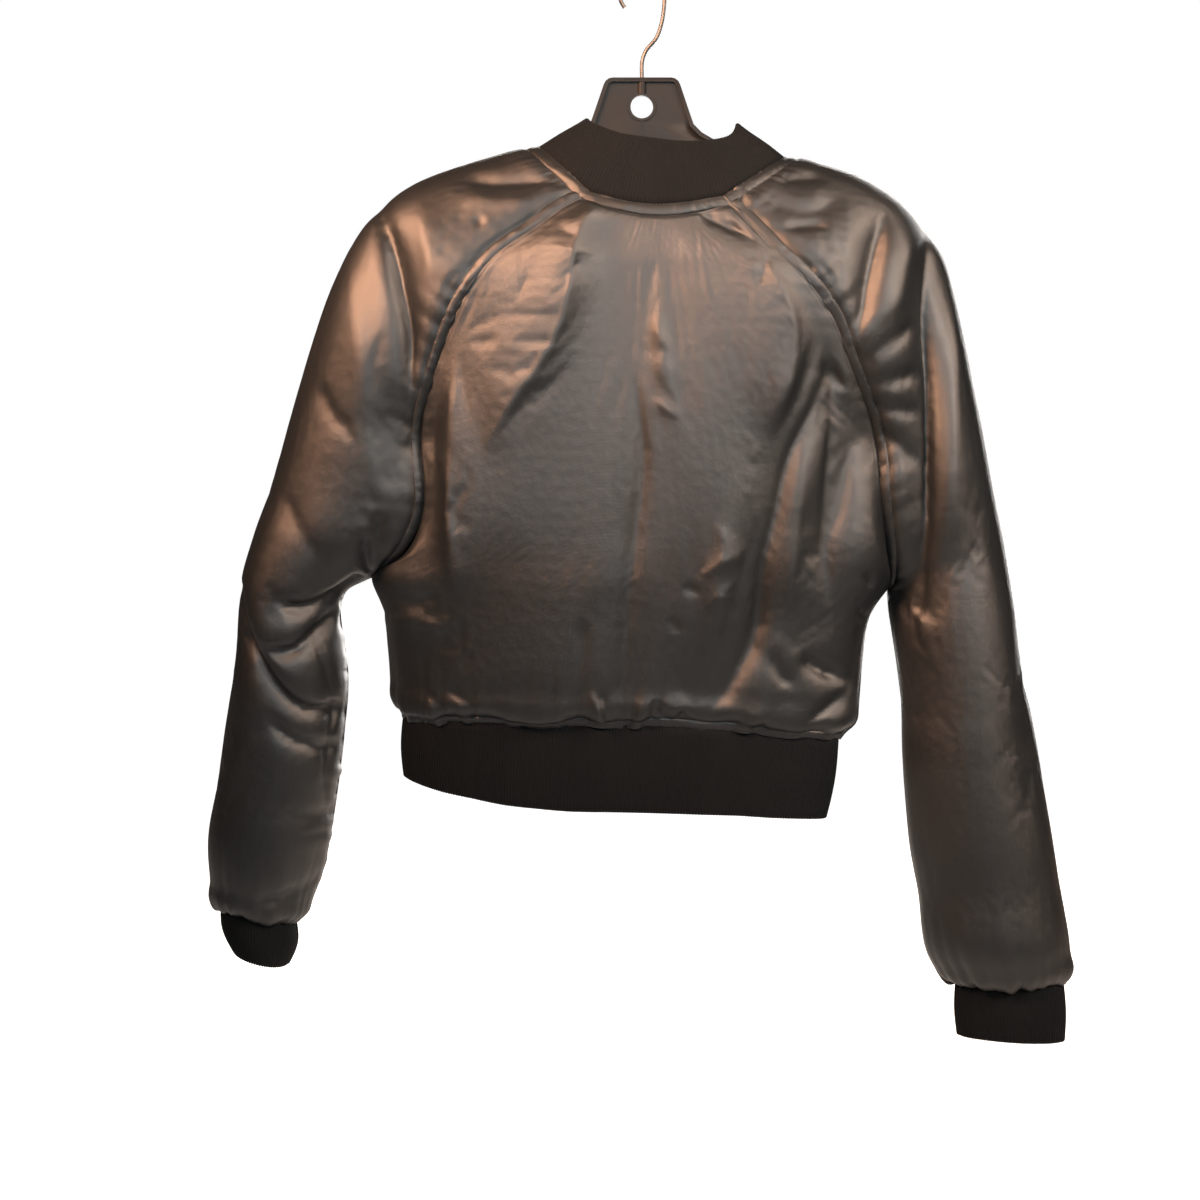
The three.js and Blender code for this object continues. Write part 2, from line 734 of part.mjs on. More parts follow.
// The right half of the outline below the plate's corner: down the plate, out along the top of the
// arm just under the shoulder, round the tip and back along the arm's underside.
const armOutline = table('x z', [
  [37, -107],
  [39, -112.5],
  [45, -118.5],
  [66, -130.5],
  [90, -138.6],
  [108, -142.2],
  [130, -145.6],
  [148, -151.4],
  [165, -157.2],
  [186, -169.3],
  [197, -179.4],
  [203, -187],
  [204.5, -191.5],
  [203, -196],
  [197, -198.5],
  [176, -189],
  [150, -179],
  [120, -171],
  [90, -167],
  [66, -167],
  [30, -169],
]);

function hangerOutline() {
  const corner = range(4).map((i) => {
    const angle = radians(90 - 25 * i);
    const x = plateTopHalf - plateCorner + plateCorner * Math.cos(angle);
    return [x, plateTop - plateCorner + plateCorner * Math.sin(angle)];
  });
  const half = [...corner, ...armOutline.map(({ x, z }) => [x, z])];
  const points = [...half, ...half.toReversed().map(([x, z]) => [-x, z])];
  return points.map(([x, z]) => new THREE.Vector2(x, z));
}

// The outline moved inwards by a distance; it runs clockwise, so inwards is to the right.
function insetOutline(points, distance) {
  const n = points.length;
  const sides = points.map((p, i) => points[(i + 1) % n].clone().sub(p).normalize());
  return points.map((p, i) => {
    const [a, b] = [sides[(i + n - 1) % n], sides[i]].map((side) => new THREE.Vector2(side.y, -side.x));
    const scale = distance / (1 + a.dot(b));
    return p.clone().addScaledVector(a.add(b), scale);
  });
}

function hangerSolid() {
  const outline = hangerOutline();
  const web = plate(new THREE.Shape(outline), hangerWeb);
  const rimShape = new THREE.Shape(outline);
  rimShape.holes.push(new THREE.Path(insetOutline(outline, hangerRim).reverse()));
  const rim = plate(rimShape, hangerDepth);
  const eye = new THREE.CylinderGeometry(hangerHole + 2, hangerHole + 2, hangerWeb + 1.6, 36);
  const socket = new THREE.CylinderGeometry(socketRadius, socketRadius, socketDepth, 16);
  socket.rotateX(Math.PI / 2).translate(0, 0, plateTop - socketDepth / 2);
  const rib = box(-0.7, 0.7, -hangerWeb / 2 - 0.6, hangerWeb / 2 + 0.6, ribFoot, holeZ);
  const solid = joined(web, rim, eye.translate(0, 0, holeZ), socket, rib);
  const hole = new THREE.CylinderGeometry(hangerHole, hangerHole, 20, 36).translate(0, 0, holeZ);
  const boreRadius = wireRadius + 0.35;
  const bore = new THREE.CylinderGeometry(boreRadius, boreRadius, socketDepth, 16);
  bore.rotateX(Math.PI / 2).translate(0, 0, plateTop - socketDepth / 2 + 1);
  return solid.subtract(solidOf(hole)).subtract(solidOf(bore));
}

// The wire: up out of its socket, out to one side, and round over the rail.
const hookLine = new THREE.CatmullRomCurve3([
  vec(0, 0, plateTop - socketDepth + 2),
  vec(0, 0, plateTop),
  vec(-0.2, 0, -66),
  vec(-3, 0, -58),
  vec(-10.8, 0, -48.5),
  vec(-14.6, 0, -38),
  vec(-16.4, 0, -27),
  ...range(12).map((i) => {
    const angle = radians(180 - 20 * i);
    const radius = railRadius + wireRadius;
    return vec(radius * Math.cos(angle), 0, -railRadius + radius * Math.sin(angle));
  }),
]);

function hookGeometry() {
  const section = new THREE.Shape().absarc(0, 0, wireRadius, 0, 2 * Math.PI);
  const options = { extrudePath: hookLine, steps: 64, curveSegments: 5, bevelEnabled: false };
  return new THREE.ExtrudeGeometry(section, options);
}

// ---- finishes

const satin = { color: 0x2c2b29, roughness: 0.38, metalness: 0 };
const rib = { color: 0x1b1b1a, roughness: 0.85, metalness: 0 };
const tape = { color: 0x161616, roughness: 0.8, metalness: 0 };
const zipMetal = { color: 0x4c4a47, roughness: 0.35, metalness: 1 };
const plastic = { color: 0x191817, roughness: 0.4, metalness: 0 };
const wire = { color: 0xb9b7b2, roughness: 0.3, metalness: 1 };

// ---- the jacket on its hanger

const jacket = new THREE.Group();

function add(name, geometry, finish) {
  const mesh = new THREE.Mesh(geometry, new THREE.MeshStandardMaterial(finish));
  mesh.name = name;
  jacket.add(mesh);
}

add('back_panel', panelSolid(backPanel, shellWall, outOfBody), satin);
add('front_left', panelSolid(leftFront, shellWall, outOfBody), satin);
add('front_right', panelSolid(rightFront, shellWall, outOfBody), satin);
add('sleeve_left', panelSolid(leftSleeve, shellWall, outOfSleeve), satin);
add('sleeve_right', panelSolid(rightSleeve, shellWall, outOfSleeve), satin);

add('rib_collar', panelSolid(collar, ribWall), rib);
add('rib_hem', panelSolid(hemRib, ribWall), rib);
add('cuff_left', panelSolid(leftCuff, ribWall), rib);
add('cuff_right', panelSolid(rightCuff, ribWall), rib);

add('raglan_band_back_left', raglanBand(leftSleeve, false), satin);
add('raglan_band_front_left', raglanBand(leftSleeve, true), satin);
add('raglan_band_back_right', raglanBand(rightSleeve, true), satin);
add('raglan_band_front_right', raglanBand(rightSleeve, false), satin);

const bandRing = (row) =>
  ringOf(leftFront[row], leftSleeve[row], backPanel[row], rightSleeve[row], rightFront[row]);
add('neck_band', bandSolid(bandRing(0), bandRing(1)), satin);
const hemBandTop = ringOf(leftFront.at(-2), backPanel.at(-2), rightFront.at(-2));
add('hem_band', bandSolid(hemBandTop, hemRing), satin);

add('zip_tape_left', zipStrip(tapeInner, tapeOuter, -0.3, tapeThickness + 0.3), tape);
add('zip_tape_right', zipStrip(-tapeOuter, -tapeInner, -0.3, tapeThickness + 0.3), tape);
add('zip_chain', zipStrip(-chainHalf, chainHalf, chainProud, chainThickness - chainProud), zipMetal);
add('zip_slider', geometryFrom(sliderSolid()), zipMetal);
add('zip_pull', geometryFrom(tabSolid()), zipMetal);

add('hanger_body', geometryFrom(hangerSolid()), plastic);
add('hanger_hook', hookGeometry(), wire);

export default jacket;
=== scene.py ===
import math
from collections import defaultdict

import bmesh
import bpy
import numpy as np
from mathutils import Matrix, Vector


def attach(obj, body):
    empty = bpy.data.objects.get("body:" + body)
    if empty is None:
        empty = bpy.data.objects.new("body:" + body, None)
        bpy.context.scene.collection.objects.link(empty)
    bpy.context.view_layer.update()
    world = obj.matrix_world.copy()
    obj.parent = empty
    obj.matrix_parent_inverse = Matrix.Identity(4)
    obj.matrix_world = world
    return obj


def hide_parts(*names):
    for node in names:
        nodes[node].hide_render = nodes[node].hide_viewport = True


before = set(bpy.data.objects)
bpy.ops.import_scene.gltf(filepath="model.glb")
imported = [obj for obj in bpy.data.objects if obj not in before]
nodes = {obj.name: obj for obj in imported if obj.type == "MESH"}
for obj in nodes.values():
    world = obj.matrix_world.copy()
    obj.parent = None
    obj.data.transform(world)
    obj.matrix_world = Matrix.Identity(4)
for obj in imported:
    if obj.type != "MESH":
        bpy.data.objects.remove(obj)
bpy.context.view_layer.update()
print("frame loaded:", len(nodes), "nodes")

mm = 0.001  # tables are in millimetres, the scene is in metres

# The cloth solids are grids of points, one wall thick, and are read back as such: rows down the piece,
# points along a row counter-clockwise seen from above, and the solid's wall.
cadGrids = {
    "back_panel": dict(rows=22, points=19, wall=4),
    "front_left": dict(rows=22, points=11, wall=4),
    "front_right": dict(rows=22, points=11, wall=4),
    "sleeve_left": dict(rows=24, points=15, wall=4),
    "sleeve_right": dict(rows=24, points=15, wall=4),
    "rib_collar": dict(rows=3, points=67, wall=3),
    "rib_hem": dict(rows=3, points=39, wall=3),
    "cuff_left": dict(rows=3, points=15, wall=3),
    "cuff_right": dict(rows=3, points=15, wall=3),
}


def weldedMesh(obj):
    # the solid's points with shared corners merged, and its triangles
    mesh = obj.data
    mesh.calc_loop_triangles()
    points = np.empty(len(mesh.vertices) * 3, np.float32)
    mesh.vertices.foreach_get("co", points)
    points = points.reshape(-1, 3).astype(float)
    faces = np.empty(len(mesh.loop_triangles) * 3, np.int32)
    mesh.loop_triangles.foreach_get("vertices", faces)
    keys = np.round(points / (0.01 * mm))
    _, first, same = np.unique(keys, axis=0, return_index=True, return_inverse=True)
    return points[first], same.reshape(-1)[faces].reshape(-1, 3)


def outerLayer(points, faces, wall):
    # each rim triangle has one edge as long as the wall; without the rims, two layers are left
    edges = points[faces[:, [1, 2, 0]]] - points[faces]
    across = np.abs(np.linalg.norm(edges, axis=2) - wall) < 0.006 * mm
    faces = faces[~across.any(axis=1)]
    label = np.arange(len(points))
    settled = False
    while not settled:
        new = label.copy()
        np.minimum.at(new, faces.ravel(), np.repeat(label[faces].min(axis=1), 3))
        settled = (new == label).all()
        label = new
    corner = points[faces]
    areas = np.linalg.norm(np.cross(corner[:, 1] - corner[:, 0], corner[:, 2] - corner[:, 0]), axis=1)
    totals = defaultdict(float)
    for layer, area in zip(label[faces[:, 0]], areas):
        totals[layer] += area
    return faces[label[faces[:, 0]] == max(totals, key=totals.get)]


def borderLoop(faces):
    # the layer's border, counter-clockwise seen from outside
    sides = {(a, b) for t in faces for a, b in ((t[0], t[1]), (t[1], t[2]), (t[2], t[0]))}
    after = {a: b for a, b in sides if (b, a) not in sides}
    loop = [min(after)]
    while after[loop[-1]] != loop[0]:
        loop.append(after[loop[-1]])
    return loop


def readGrid(name):
    rows, columns = cadGrids[name]["rows"], cadGrids[name]["points"]
    points, faces = weldedMesh(nodes[name])
    faces = outerLayer(points, faces, cadGrids[name]["wall"] * mm)
    loop = np.array(borderLoop(faces))
    if len(loop) != 2 * (rows + columns) - 4:
        raise ValueError(f"{name}: a border of {len(loop)} points")
    ring = points[loop]
    steps = np.roll(ring, -1, 0) - ring
    steps /= np.linalg.norm(steps, axis=1)[:, None]
    turn = 1 - (steps * np.roll(steps, 1, 0)).sum(axis=1)

    def cornered(k):
        # the border turns most at the four corners, and the first row is the higher one
        corners = [k, k + columns - 1, k + columns + rows - 2, k + 2 * columns + rows - 3]
        height = ring[np.arange(k, k + columns) % len(loop), 2].mean()
        return turn[np.array(corners) % len(loop)].sum() + 0.5 * height

    loop = np.roll(loop, -max(range(len(loop)), key=cornered))
    near = defaultdict(set)
    for a, b, c in faces:
        near[a] |= {b, c}
        near[b] |= {a, c}
        near[c] |= {a, b}
    grid = np.full((rows, columns), -1)
    grid[0] = loop[:columns][::-1]
    grid[:, 0] = loop[columns - 1 : columns - 1 + rows]
    placed = set(grid[0]) | set(grid[:, 0])
    for r in range(1, rows):
        for c in range(1, columns):
            (grid[r, c],) = (near[grid[r, c - 1]] & near[grid[r - 1, c]]) - placed
            placed.add(grid[r, c])
    return points[grid]


def splineWeights(knots, at):
    # each row holds the weights of the knots' values in a natural cubic spline through them
    count = len(knots)
    step = np.diff(knots)
    system = np.eye(count)
    right = np.zeros((count, count))
    for i in range(1, count - 1):
        system[i, i - 1 : i + 2] = step[i - 1], 2 * (step[i - 1] + step[i]), step[i]
        right[i, i - 1 : i + 2] = 6 / step[i - 1], -6 / step[i - 1] - 6 / step[i], 6 / step[i]
    bend = np.linalg.solve(system, right)
    i = np.clip(np.searchsorted(knots, at, side="right") - 1, 0, count - 2)
    width = step[i]
    upper = (at - knots[i]) / width
    lower = 1 - upper
    weights = np.zeros((len(at), count))
    line = np.arange(len(at))
    weights[line, i] += lower
    weights[line, i + 1] += upper
    weights += ((lower**3 - lower) * width**2 / 6)[:, None] * bend[i]
    weights += ((upper**3 - upper) * width**2 / 6)[:, None] * bend[i + 1]
    return weights


def distances(line):
    # how far along the line each of its points is
    return np.concatenate([[0], np.cumsum(np.linalg.norm(np.diff(line, axis=0), axis=1))])


def resample(line, count):
    # evenly spaced points on a smooth line through these
    along = distances(line)
    return splineWeights(along, np.linspace(0, along[-1], count)) @ line


def refine(grid, knots, counts, acrossCount):
    # so many rows between each two of the grid's, and points spread evenly along a row
    parts = [np.linspace(a, b, n, endpoint=False) for a, b, n in zip(knots, knots[1:], counts)]
    at = np.concatenate([*parts, [knots[-1]]])
    across = np.array([resample(row, acrossCount) for row in grid])
    return np.einsum("rk,kcx->rcx", splineWeights(knots, at), across)


def finer(grid, times):
    # the grid with more rows and points, on the same smooth surface
    rows, columns = (np.arange(n, dtype=float) for n in grid.shape[:2])
    down = splineWeights(rows, np.linspace(0, rows[-1], round(rows[-1] * times) + 1))
    along = splineWeights(columns, np.linspace(0, columns[-1], round(columns[-1] * times) + 1))
    return np.einsum("rk,kcx,nc->rnx", down, grid, along)


def unit(vectors):
    return vectors / np.maximum(np.linalg.norm(vectors, axis=-1, keepdims=True), 1e-12)


def normalsOf(grid):
    return unit(np.cross(np.gradient(grid, axis=0), np.gradient(grid, axis=1)))


def smoothstep(t):
    t = np.clip(t, 0, 1)
    return t * t * (3 - 2 * t)


def table(names, rows):
    keys = names.split()
    return [dict(zip(keys, row)) for row in rows]


# Folds through points (x, z). side is 1 behind and -1 in front. height is over the cloth, and below it
# if negative. left and right are how far the fold reaches on each side, seen from outside along its
# points, round is the width of its crest, and start and end are what is left of it at its ends.
foldNames = "side points height left right round start end"
foldTaper = 0.35  # the share of a fold over which it dies away at an end
folds = table(
    foldNames,
    [
        # the back: the lit left panel's edge, and the panel's other edge where it turns in under the arm
        (1, [(24, -172), (40, -186), (54, -238), (70, -285), (98, -327), (122, -368)],
         8, 22, 78, 2, 0.6, 0.2),
        (1, [(138, -286), (139, -340), (140, -385), (140, -430), (134, -478)], 12, 60, 19, 1.2, 0.1, 0.3),
        (1, [(132, -250), (116, -270), (122, -300)], -1.8, 20, 18, 6, 0, 0),
        # its middle
        (1, [(11, -255), (6, -310), (1, -364), (6, -420), (11, -470), (13, -510), (17, -556)],
         -3.6, 18, 11, 2.5, 0, 1),
        (1, [(-8, -240), (-12, -276), (-18, -320)], 2.5, 12, 10, 3, 0, 0),
        (1, [(43, -467), (45, -504), (49, -556)], -2.5, 9, 9, 3, 0, 1),
        (1, [(-84, -434), (-60, -438), (-38, -450)], 2.4, 7, 13, 1.5, 0, 0),
        (1, [(-50, -406), (-60, -430), (-52, -448)], 1.8, 9, 9, 1.5, 0, 0),
        (1, [(-70, -452), (-56, -462), (-48, -478)], 1.8, 8, 9, 1.5, 0, 0),
        # its right side: the lit patch, and the two folds that run from the armhole to the hem
        (1, [(-92, -222), (-108, -262), (-106, -305), (-88, -350)], 7.5, 14, 62, 2.5, 0.4, 0.1),
        (1, [(-36, -180), (-56, -190), (-80, -201)], -3.5, 10, 8, 2, 0, 0.5),
        (1, [(-138, -289), (-126, -321), (-108, -360), (-98, -406), (-88, -450),
             (-84, -493), (-70, -522), (-48, -558)],
         -8, 13, 24, 2, 0.4, 0.4),
        (1, [(-141, -304), (-138, -351), (-134, -407), (-137, -451), (-141, -496)], -6, 26, 14, 2, 0.8, 0),
        (1, [(-117, -350), (-112, -400), (-108, -450), (-106, -490)], 3, 11, 12, 3, 0, 0),
        (1, [(-116, -506), (-133, -519), (-156, -530)], -6, 9, 10, 2, 0, 0.3),
        (1, [(-96, -500), (-105, -526), (-118, -536)], -3.5, 9, 9, 3, 0, 0),
        # under the left arm
        (1, [(188, -466), (168, -470), (150, -460)], -2.6, 8, 9, 1.5, 0.6, 0),
        (1, [(190, -486), (165, -484), (137, -498)], 2.4, 8, 20, 1.5, 0.6, 0),
        # the left sleeve
        (1, [(200, -172), (187, -205), (178, -239), (171, -271), (169, -306), (165, -345)],
         -9, 15, 9, 1.6, 0.3, 0.7),
        (1, [(166, -172), (158, -205), (154, -240)], 2, 22, 10, 4, 0.2, 0),
        (1, [(222, -210), (212, -260), (206, -310), (200, -370), (190, -410)], 4, 16, 40, 5, 0.2, 0),
        (1, [(146, -153), (109, -159), (75, -159), (46, -164)], -3.5, 8, 8, 2, 0, 0.7),
        (1, [(140, -170), (100, -176), (70, -178)], 2, 10, 10, 4, 0, 0),
        (1, [(248, -300), (228, -330), (204, -352)], -1.8, 9, 14, 3, 0, 0),
        (1, [(272, -380), (252, -420), (232, -446)], -2, 12, 14, 4, 0, 0),
        (1, [(207, -415), (206, -447)], -4.5, 7, 7, 1.5, 0, 0.6),
        (1, [(196, -403), (195, -435)], -3.5, 6, 6, 1.5, 0, 0.6),
        (1, [(282, -462), (258, -474), (236, -468), (216, -456)], -7.5, 8, 12, 1.5, 0, 1),
        (1, [(292, -500), (268, -508), (246, -494), (230, -480)], -6, 8, 12, 1.5, 0, 0.8),
        (1, [(308, -462), (298, -496), (280, -528), (254, -552), (230, -555)], -8, 8, 16, 1.4, 0.3, 0.9),
        (1, [(288, -552), (266, -574), (238, -585)], -5, 8, 12, 1.6, 0, 0.8),
        (1, [(282, -627), (259, -636), (241, -637)], -2, 9, 12, 3, 0, 0.8),
        (1, [(250, -690), (268, -700), (300, -704)], -3, 9, 9, 3, 0.6, 0),
        # the right shoulder and sleeve
        (1, [(-92, -160), (-118, -156), (-142, -155)], -2.4, 8, 9, 2, 0, 0),
        (1, [(-84, -170), (-108, -180), (-129, -180), (-152, -164)], -2.6, 10, 16, 2.5, 0.2, 0),
        (1, [(-100, -197), (-122, -192), (-138, -192)], -2.6, 7, 7, 1.5, 0, 0),
        (1, [(-180, -170), (-172, -205), (-164, -236), (-158, -264), (-151, -281)], -7, 9, 22, 2.5, 0.1, 0.4),
        (1, [(-200, -186), (-190, -232), (-178, -270)], 3, 14, 16, 4, 0, 0),
        (1, [(-166, -290), (-186, -274), (-208, -262)], -2.4, 10, 8, 1.6, 0.6, 0),
        (1, [(-170, -308), (-188, -304), (-210, -300)], -2.8, 11, 8, 1.6, 0.6, 0),
        (1, [(-172, -324), (-190, -327), (-208, -330)], -2.2, 8, 7, 1.6, 0.7, 0),
        (1, [(-172, -342), (-190, -352), (-202, -374)], -2.6, 8, 12, 1.6, 0.6, 0),
        (1, [(-216, -192), (-213, -253), (-215, -289), (-213, -342), (-211, -407), (-208, -475)],
         -13, 9, 26, 1.2, 0.3, 0.3),
        (1, [(-230, -215), (-230, -290), (-229, -370), (-226, -450)], 4.5, 40, 12, 3, 0.2, 0),
        (1, [(-284, -470), (-292, -560), (-300, -660)], -3, 20, 20, 7, 0, 0),
        # in front
        (-1, [(150, -330), (122, -400), (82, -480), (60, -556)], -6, 16, 17, 3, 0.3, 1),
        (-1, [(-140, -325), (-112, -400), (-78, -485), (-60, -560)], -6, 17, 16, 3, 0.3, 1),
        (-1, [(62, -236), (54, -330), (50, -430)], -3, 18, 18, 5, 0, 0),
        (-1, [(-58, -240), (-52, -340), (-47, -440)], -3, 18, 18, 5, 0, 0),
        (-1, [(120, -250), (96, -330), (88, -400)], 3, 20, 20, 5, 0, 0),
        (-1, [(-116, -255), (-96, -335), (-86, -405)], 3, 20, 20, 5, 0, 0),
        (-1, [(304, -492), (278, -526), (238, -540)], -7, 12, 13, 3, 0.2, 0.7),
        (-1, [(290, -548), (262, -566), (238, -568)], -5, 10, 10, 2.5, 0, 0.7),
        (-1, [(-300, -520), (-262, -552), (-206, -556)], -7, 13, 12, 3, 0.2, 0.7),
        (-1, [(-290, -580), (-250, -596), (-206, -590)], -5, 10, 10, 2.5, 0, 0.7),
        (-1, [(200, -185), (192, -260), (186, -335)], -7, 16, 16, 3, 0.2, 0.5),
        (-1, [(-196, -185), (-198, -265), (-190, -340)], -7, 16, 16, 3, 0.2, 0.5),
        (-1, [(130, -158), (96, -168), (70, -184)], -3, 9, 9, 2.5, 0, 0.6),
        (-1, [(-140, -164), (-110, -176), (-92, -190)], -3, 9, 9, 2.5, 0, 0.6),
    ],
)


def foldRise(points, normals, fold):
    # how far the fold lifts each point along its normal
    ends = np.array(fold["points"], float)
    route = resample(ends, 10 * len(ends))
    flat = points[:, [0, 2]] / mm
    facing = smoothstep(0.5 + 2 * fold["side"] * normals[:, 1])
    reach = 5 * max(fold["left"], fold["right"])
    inside = (flat > route.min(axis=0) - reach) & (flat < route.max(axis=0) + reach)
    near = np.flatnonzero(inside.all(axis=1) & (facing > 0))
    rise = np.zeros(len(points))
    if not len(near):
        return rise
    start, step = route[:-1], np.diff(route, axis=0)
    offset = flat[near][:, None] - start[None]
    share = np.clip((offset * step).sum(axis=2) / (step**2).sum(axis=1), 0, 1)
    away = offset - share[:, :, None] * step
    far = np.linalg.norm(away, axis=2)
    best = far.argmin(axis=1)
    line = np.arange(len(near))
    along = (best + share[line, best]) / len(step)
    cross = step[best, 0] * away[line, best, 1] - step[best, 1] * away[line, best, 0]
    width = np.where(cross * fold["side"] < 0, fold["left"], fold["right"])
    reached = (np.hypot(far[line, best], fold["round"]) - fold["round"]) / width
    kept = (fold["start"] + (1 - fold["start"]) * smoothstep(along / foldTaper)) * (
        fold["end"] + (1 - fold["end"]) * smoothstep((1 - along) / foldTaper)
    )
    rise[near] = fold["height"] * (1 - reached) * np.exp(-reached) * kept * facing[near] * mm
    return rise


def edgeDistances(grid):
    # distances from the first row, last row, first point and last point of a row
    down = np.cumsum(np.linalg.norm(np.diff(grid, axis=0, prepend=grid[:1]), axis=2), axis=0)
    along = np.cumsum(np.linalg.norm(np.diff(grid, axis=1, prepend=grid[:, :1]), axis=2), axis=1)
    return down, down[-1:] - down, along, along[:, -1:] - along


def pressFolds(grid, rows, margin=3):
    # the folds stop at the seams, the higher ones sooner
    points = grid.reshape(-1, 3)
    normals = normalsOf(grid).reshape(-1, 3)
    away = np.min(edgeDistances(grid), axis=0).ravel() / mm - margin
    rise = 0
    for fold in rows:
        rise = rise + foldRise(points, normals, fold) * smoothstep(away / min(3 * abs(fold["height"]), 22))
    return (points + normals * rise[:, None]).reshape(grid.shape)


print("reading the cloth")
coarse = {name: readGrid(name) for name in cadGrids}
shellNames = ["back_panel", "front_left", "front_right", "sleeve_left", "sleeve_right"]
underarm = 14  # the row where sleeve and body part

cloth = dict(
    step=4.8,  # between the rows of the mesh that is settled
    across=dict(back_panel=88, front_left=46, front_right=46, sleeve_left=68, sleeve_right=68),
    finer=2,  # times as many rows and points in the finished sheets
    evened=dict(back_panel=24, front_left=60, front_right=60, sleeve_left=24, sleeve_right=24),
    evenedFrom=30,  # mm from the seams where it is evened in full
)


def meanRows(grid):
    return np.linalg.norm(np.diff(grid, axis=0), axis=2).mean(axis=1)


shared = np.mean([meanRows(coarse[name])[:underarm] for name in shellNames], axis=0)


def stepsFor(lengths):
    return [max(1, round(length / (cloth["step"] * mm))) for length in lengths]


stepsDown = stepsFor(shared)


def shellSheet(name):
    # the rows down to the underarm lie at the same distances on all the shells
    lengths = meanRows(coarse[name])
    lengths[:underarm] = shared
    knots = np.concatenate([[0], np.cumsum(lengths)])
    counts = stepsDown + stepsFor(lengths[underarm:])
    return refine(coarse[name], knots, counts, cloth["across"][name])


def evened(grid, rounds):
    # the cloth between the seams without the unevenness of its few rows
    inward = np.min(edgeDistances(grid), axis=0) / (cloth["evenedFrom"] * mm)
    share = 0.5 * smoothstep(inward)[1:-1, 1:-1, None]
    grid = grid.copy()
    for _ in range(rounds):
        around = (grid[:-2, 1:-1] + grid[2:, 1:-1] + grid[1:-1, :-2] + grid[1:-1, 2:]) / 4
        grid[1:-1, 1:-1] += share * (around - grid[1:-1, 1:-1])
    return grid


shells = {name: evened(shellSheet(name), cloth["evened"][name]) for name in shellNames}


def meshObject(name, points, faces):
    mesh = bpy.data.meshes.new(name)
    mesh.from_pydata([tuple(p) for p in points], [], [tuple(f) for f in faces])
    mesh.polygons.foreach_set("use_smooth", [True] * len(mesh.polygons))
    mesh.update()
    obj = bpy.data.objects.new(name, mesh)
    bpy.context.scene.collection.objects.link(obj)
    return obj


def gridFaces(rows, columns, first=0):
    r, c = np.meshgrid(np.arange(rows - 1), np.arange(columns - 1), indexing="ij")
    a = (first + r * columns + c).ravel()
    return np.stack([a, a + columns, a + columns + 1, a + 1], axis=1)


def giveClothMap(obj, places):
    # how far along and down the cloth each point is, in metres, for the weaves
    data = obj.data.attributes.new("clothMap", "FLOAT_VECTOR", "POINT")
    data.data.foreach_set("vector", np.asarray(places, np.float32).ravel())


settling = dict(
    frames=22,
    cap=7,  # mm, the furthest a point may move
    looseness=0.03,
    gravity=0.8,
    pressure=2,
    hold=0.012,
    holdOnHanger=0.25,
    hangerFrom=-0.26,  # the height where the hanger starts to hold the cloth
    quality=6,
    mass=0.01,
    stretch=25,
    shear=8,
    bend=0.3,
    damping=1.5,
    bendDamping=0.5,
)


def settle(grids):
    # one mesh of all the sheets, held at their edges, a little larger than its shape
    points, faces, held, loose, first = [], [], [], [], 0
    for grid in grids.values():
        rows, columns = grid.shape[:2]
        points.append(grid.reshape(-1, 3))
        faces.append(gridFaces(rows, columns, first))
        first += rows * columns
        edge = np.min(edgeDistances(grid), axis=0)
        onHanger = smoothstep((grid[..., 2] - settling["hangerFrom"]) / 0.08)
        soft = settling["hold"] + settling["holdOnHanger"] * onHanger
        held.append(np.where(edge < 1e-6, 1, soft).ravel())
        loose.append(smoothstep((edge - 0.004) / 0.03).ravel())
    start = np.concatenate(points)
    obj = meshObject("settling", start, np.concatenate(faces))
    for group, weights in (("held", held), ("loose", loose)):
        made = obj.vertex_groups.new(name=group)
        for i, weight in enumerate(np.concatenate(weights)):
            made.add([i], float(weight), "REPLACE")
    modifier = obj.modifiers.new("cloth", "CLOTH")
    modifier.collision_settings.use_collision = False
    modifier.point_cache.frame_end = settling["frames"]
    fabric = modifier.settings
    fabric.quality = settling["quality"]
    fabric.mass = settling["mass"]
    fabric.tension_stiffness = fabric.compression_stiffness = settling["stretch"]
    fabric.shear_stiffness = settling["shear"]
    fabric.bending_stiffness = settling["bend"]
    fabric.tension_damping = fabric.compression_damping = fabric.shear_damping = settling["damping"]
    fabric.bending_damping = settling["bendDamping"]
    fabric.air_damping = 1
    fabric.effector_weights.gravity = settling["gravity"]
    fabric.use_pressure = True
    fabric.uniform_pressure_force = settling["pressure"]
    fabric.vertex_group_mass = "held"
    fabric.pin_stiffness = 1
    fabric.vertex_group_shrink = "loose"
    fabric.shrink_min = 0
    fabric.shrink_max = -settling["looseness"]
    for step in range(1, settling["frames"] + 1):
        bpy.context.scene.frame_set(step)
    settled = obj.evaluated_get(bpy.context.evaluated_depsgraph_get()).to_mesh()
    after = np.empty(len(start) * 3, np.float32)
    settled.vertices.foreach_get("co", after)
    moved = after.reshape(-1, 3) - start
    length = np.linalg.norm(moved, axis=1, keepdims=True)
    cap = settling["cap"] * mm
    moved *= np.tanh(length / cap) * cap / np.maximum(length, 1e-9)
    print(f"settled: mean move {length.mean() / mm:.2f} mm, most {length.max() / mm:.1f} mm")
    bpy.data.objects.remove(obj)
    bpy.context.scene.frame_set(1)
    out, first = {}, 0
    for name, grid in grids.items():
        count = grid.shape[0] * grid.shape[1]
        out[name] = grid + moved[first : first + count].reshape(grid.shape)
        first += count
    return out


print("folding and settling")
shells = {name: pressFolds(grid, folds) for name, grid in shells.items()}
shells = settle(shells)

underarmFine = cloth["finer"] * sum(stepsDown)  # the underarm's row in the fine sheets
sheets = {name: finer(grid, cloth["finer"]) for name, grid in shells.items()}
sheetNormals = {name: normalsOf(grid) for name, grid in sheets.items()}

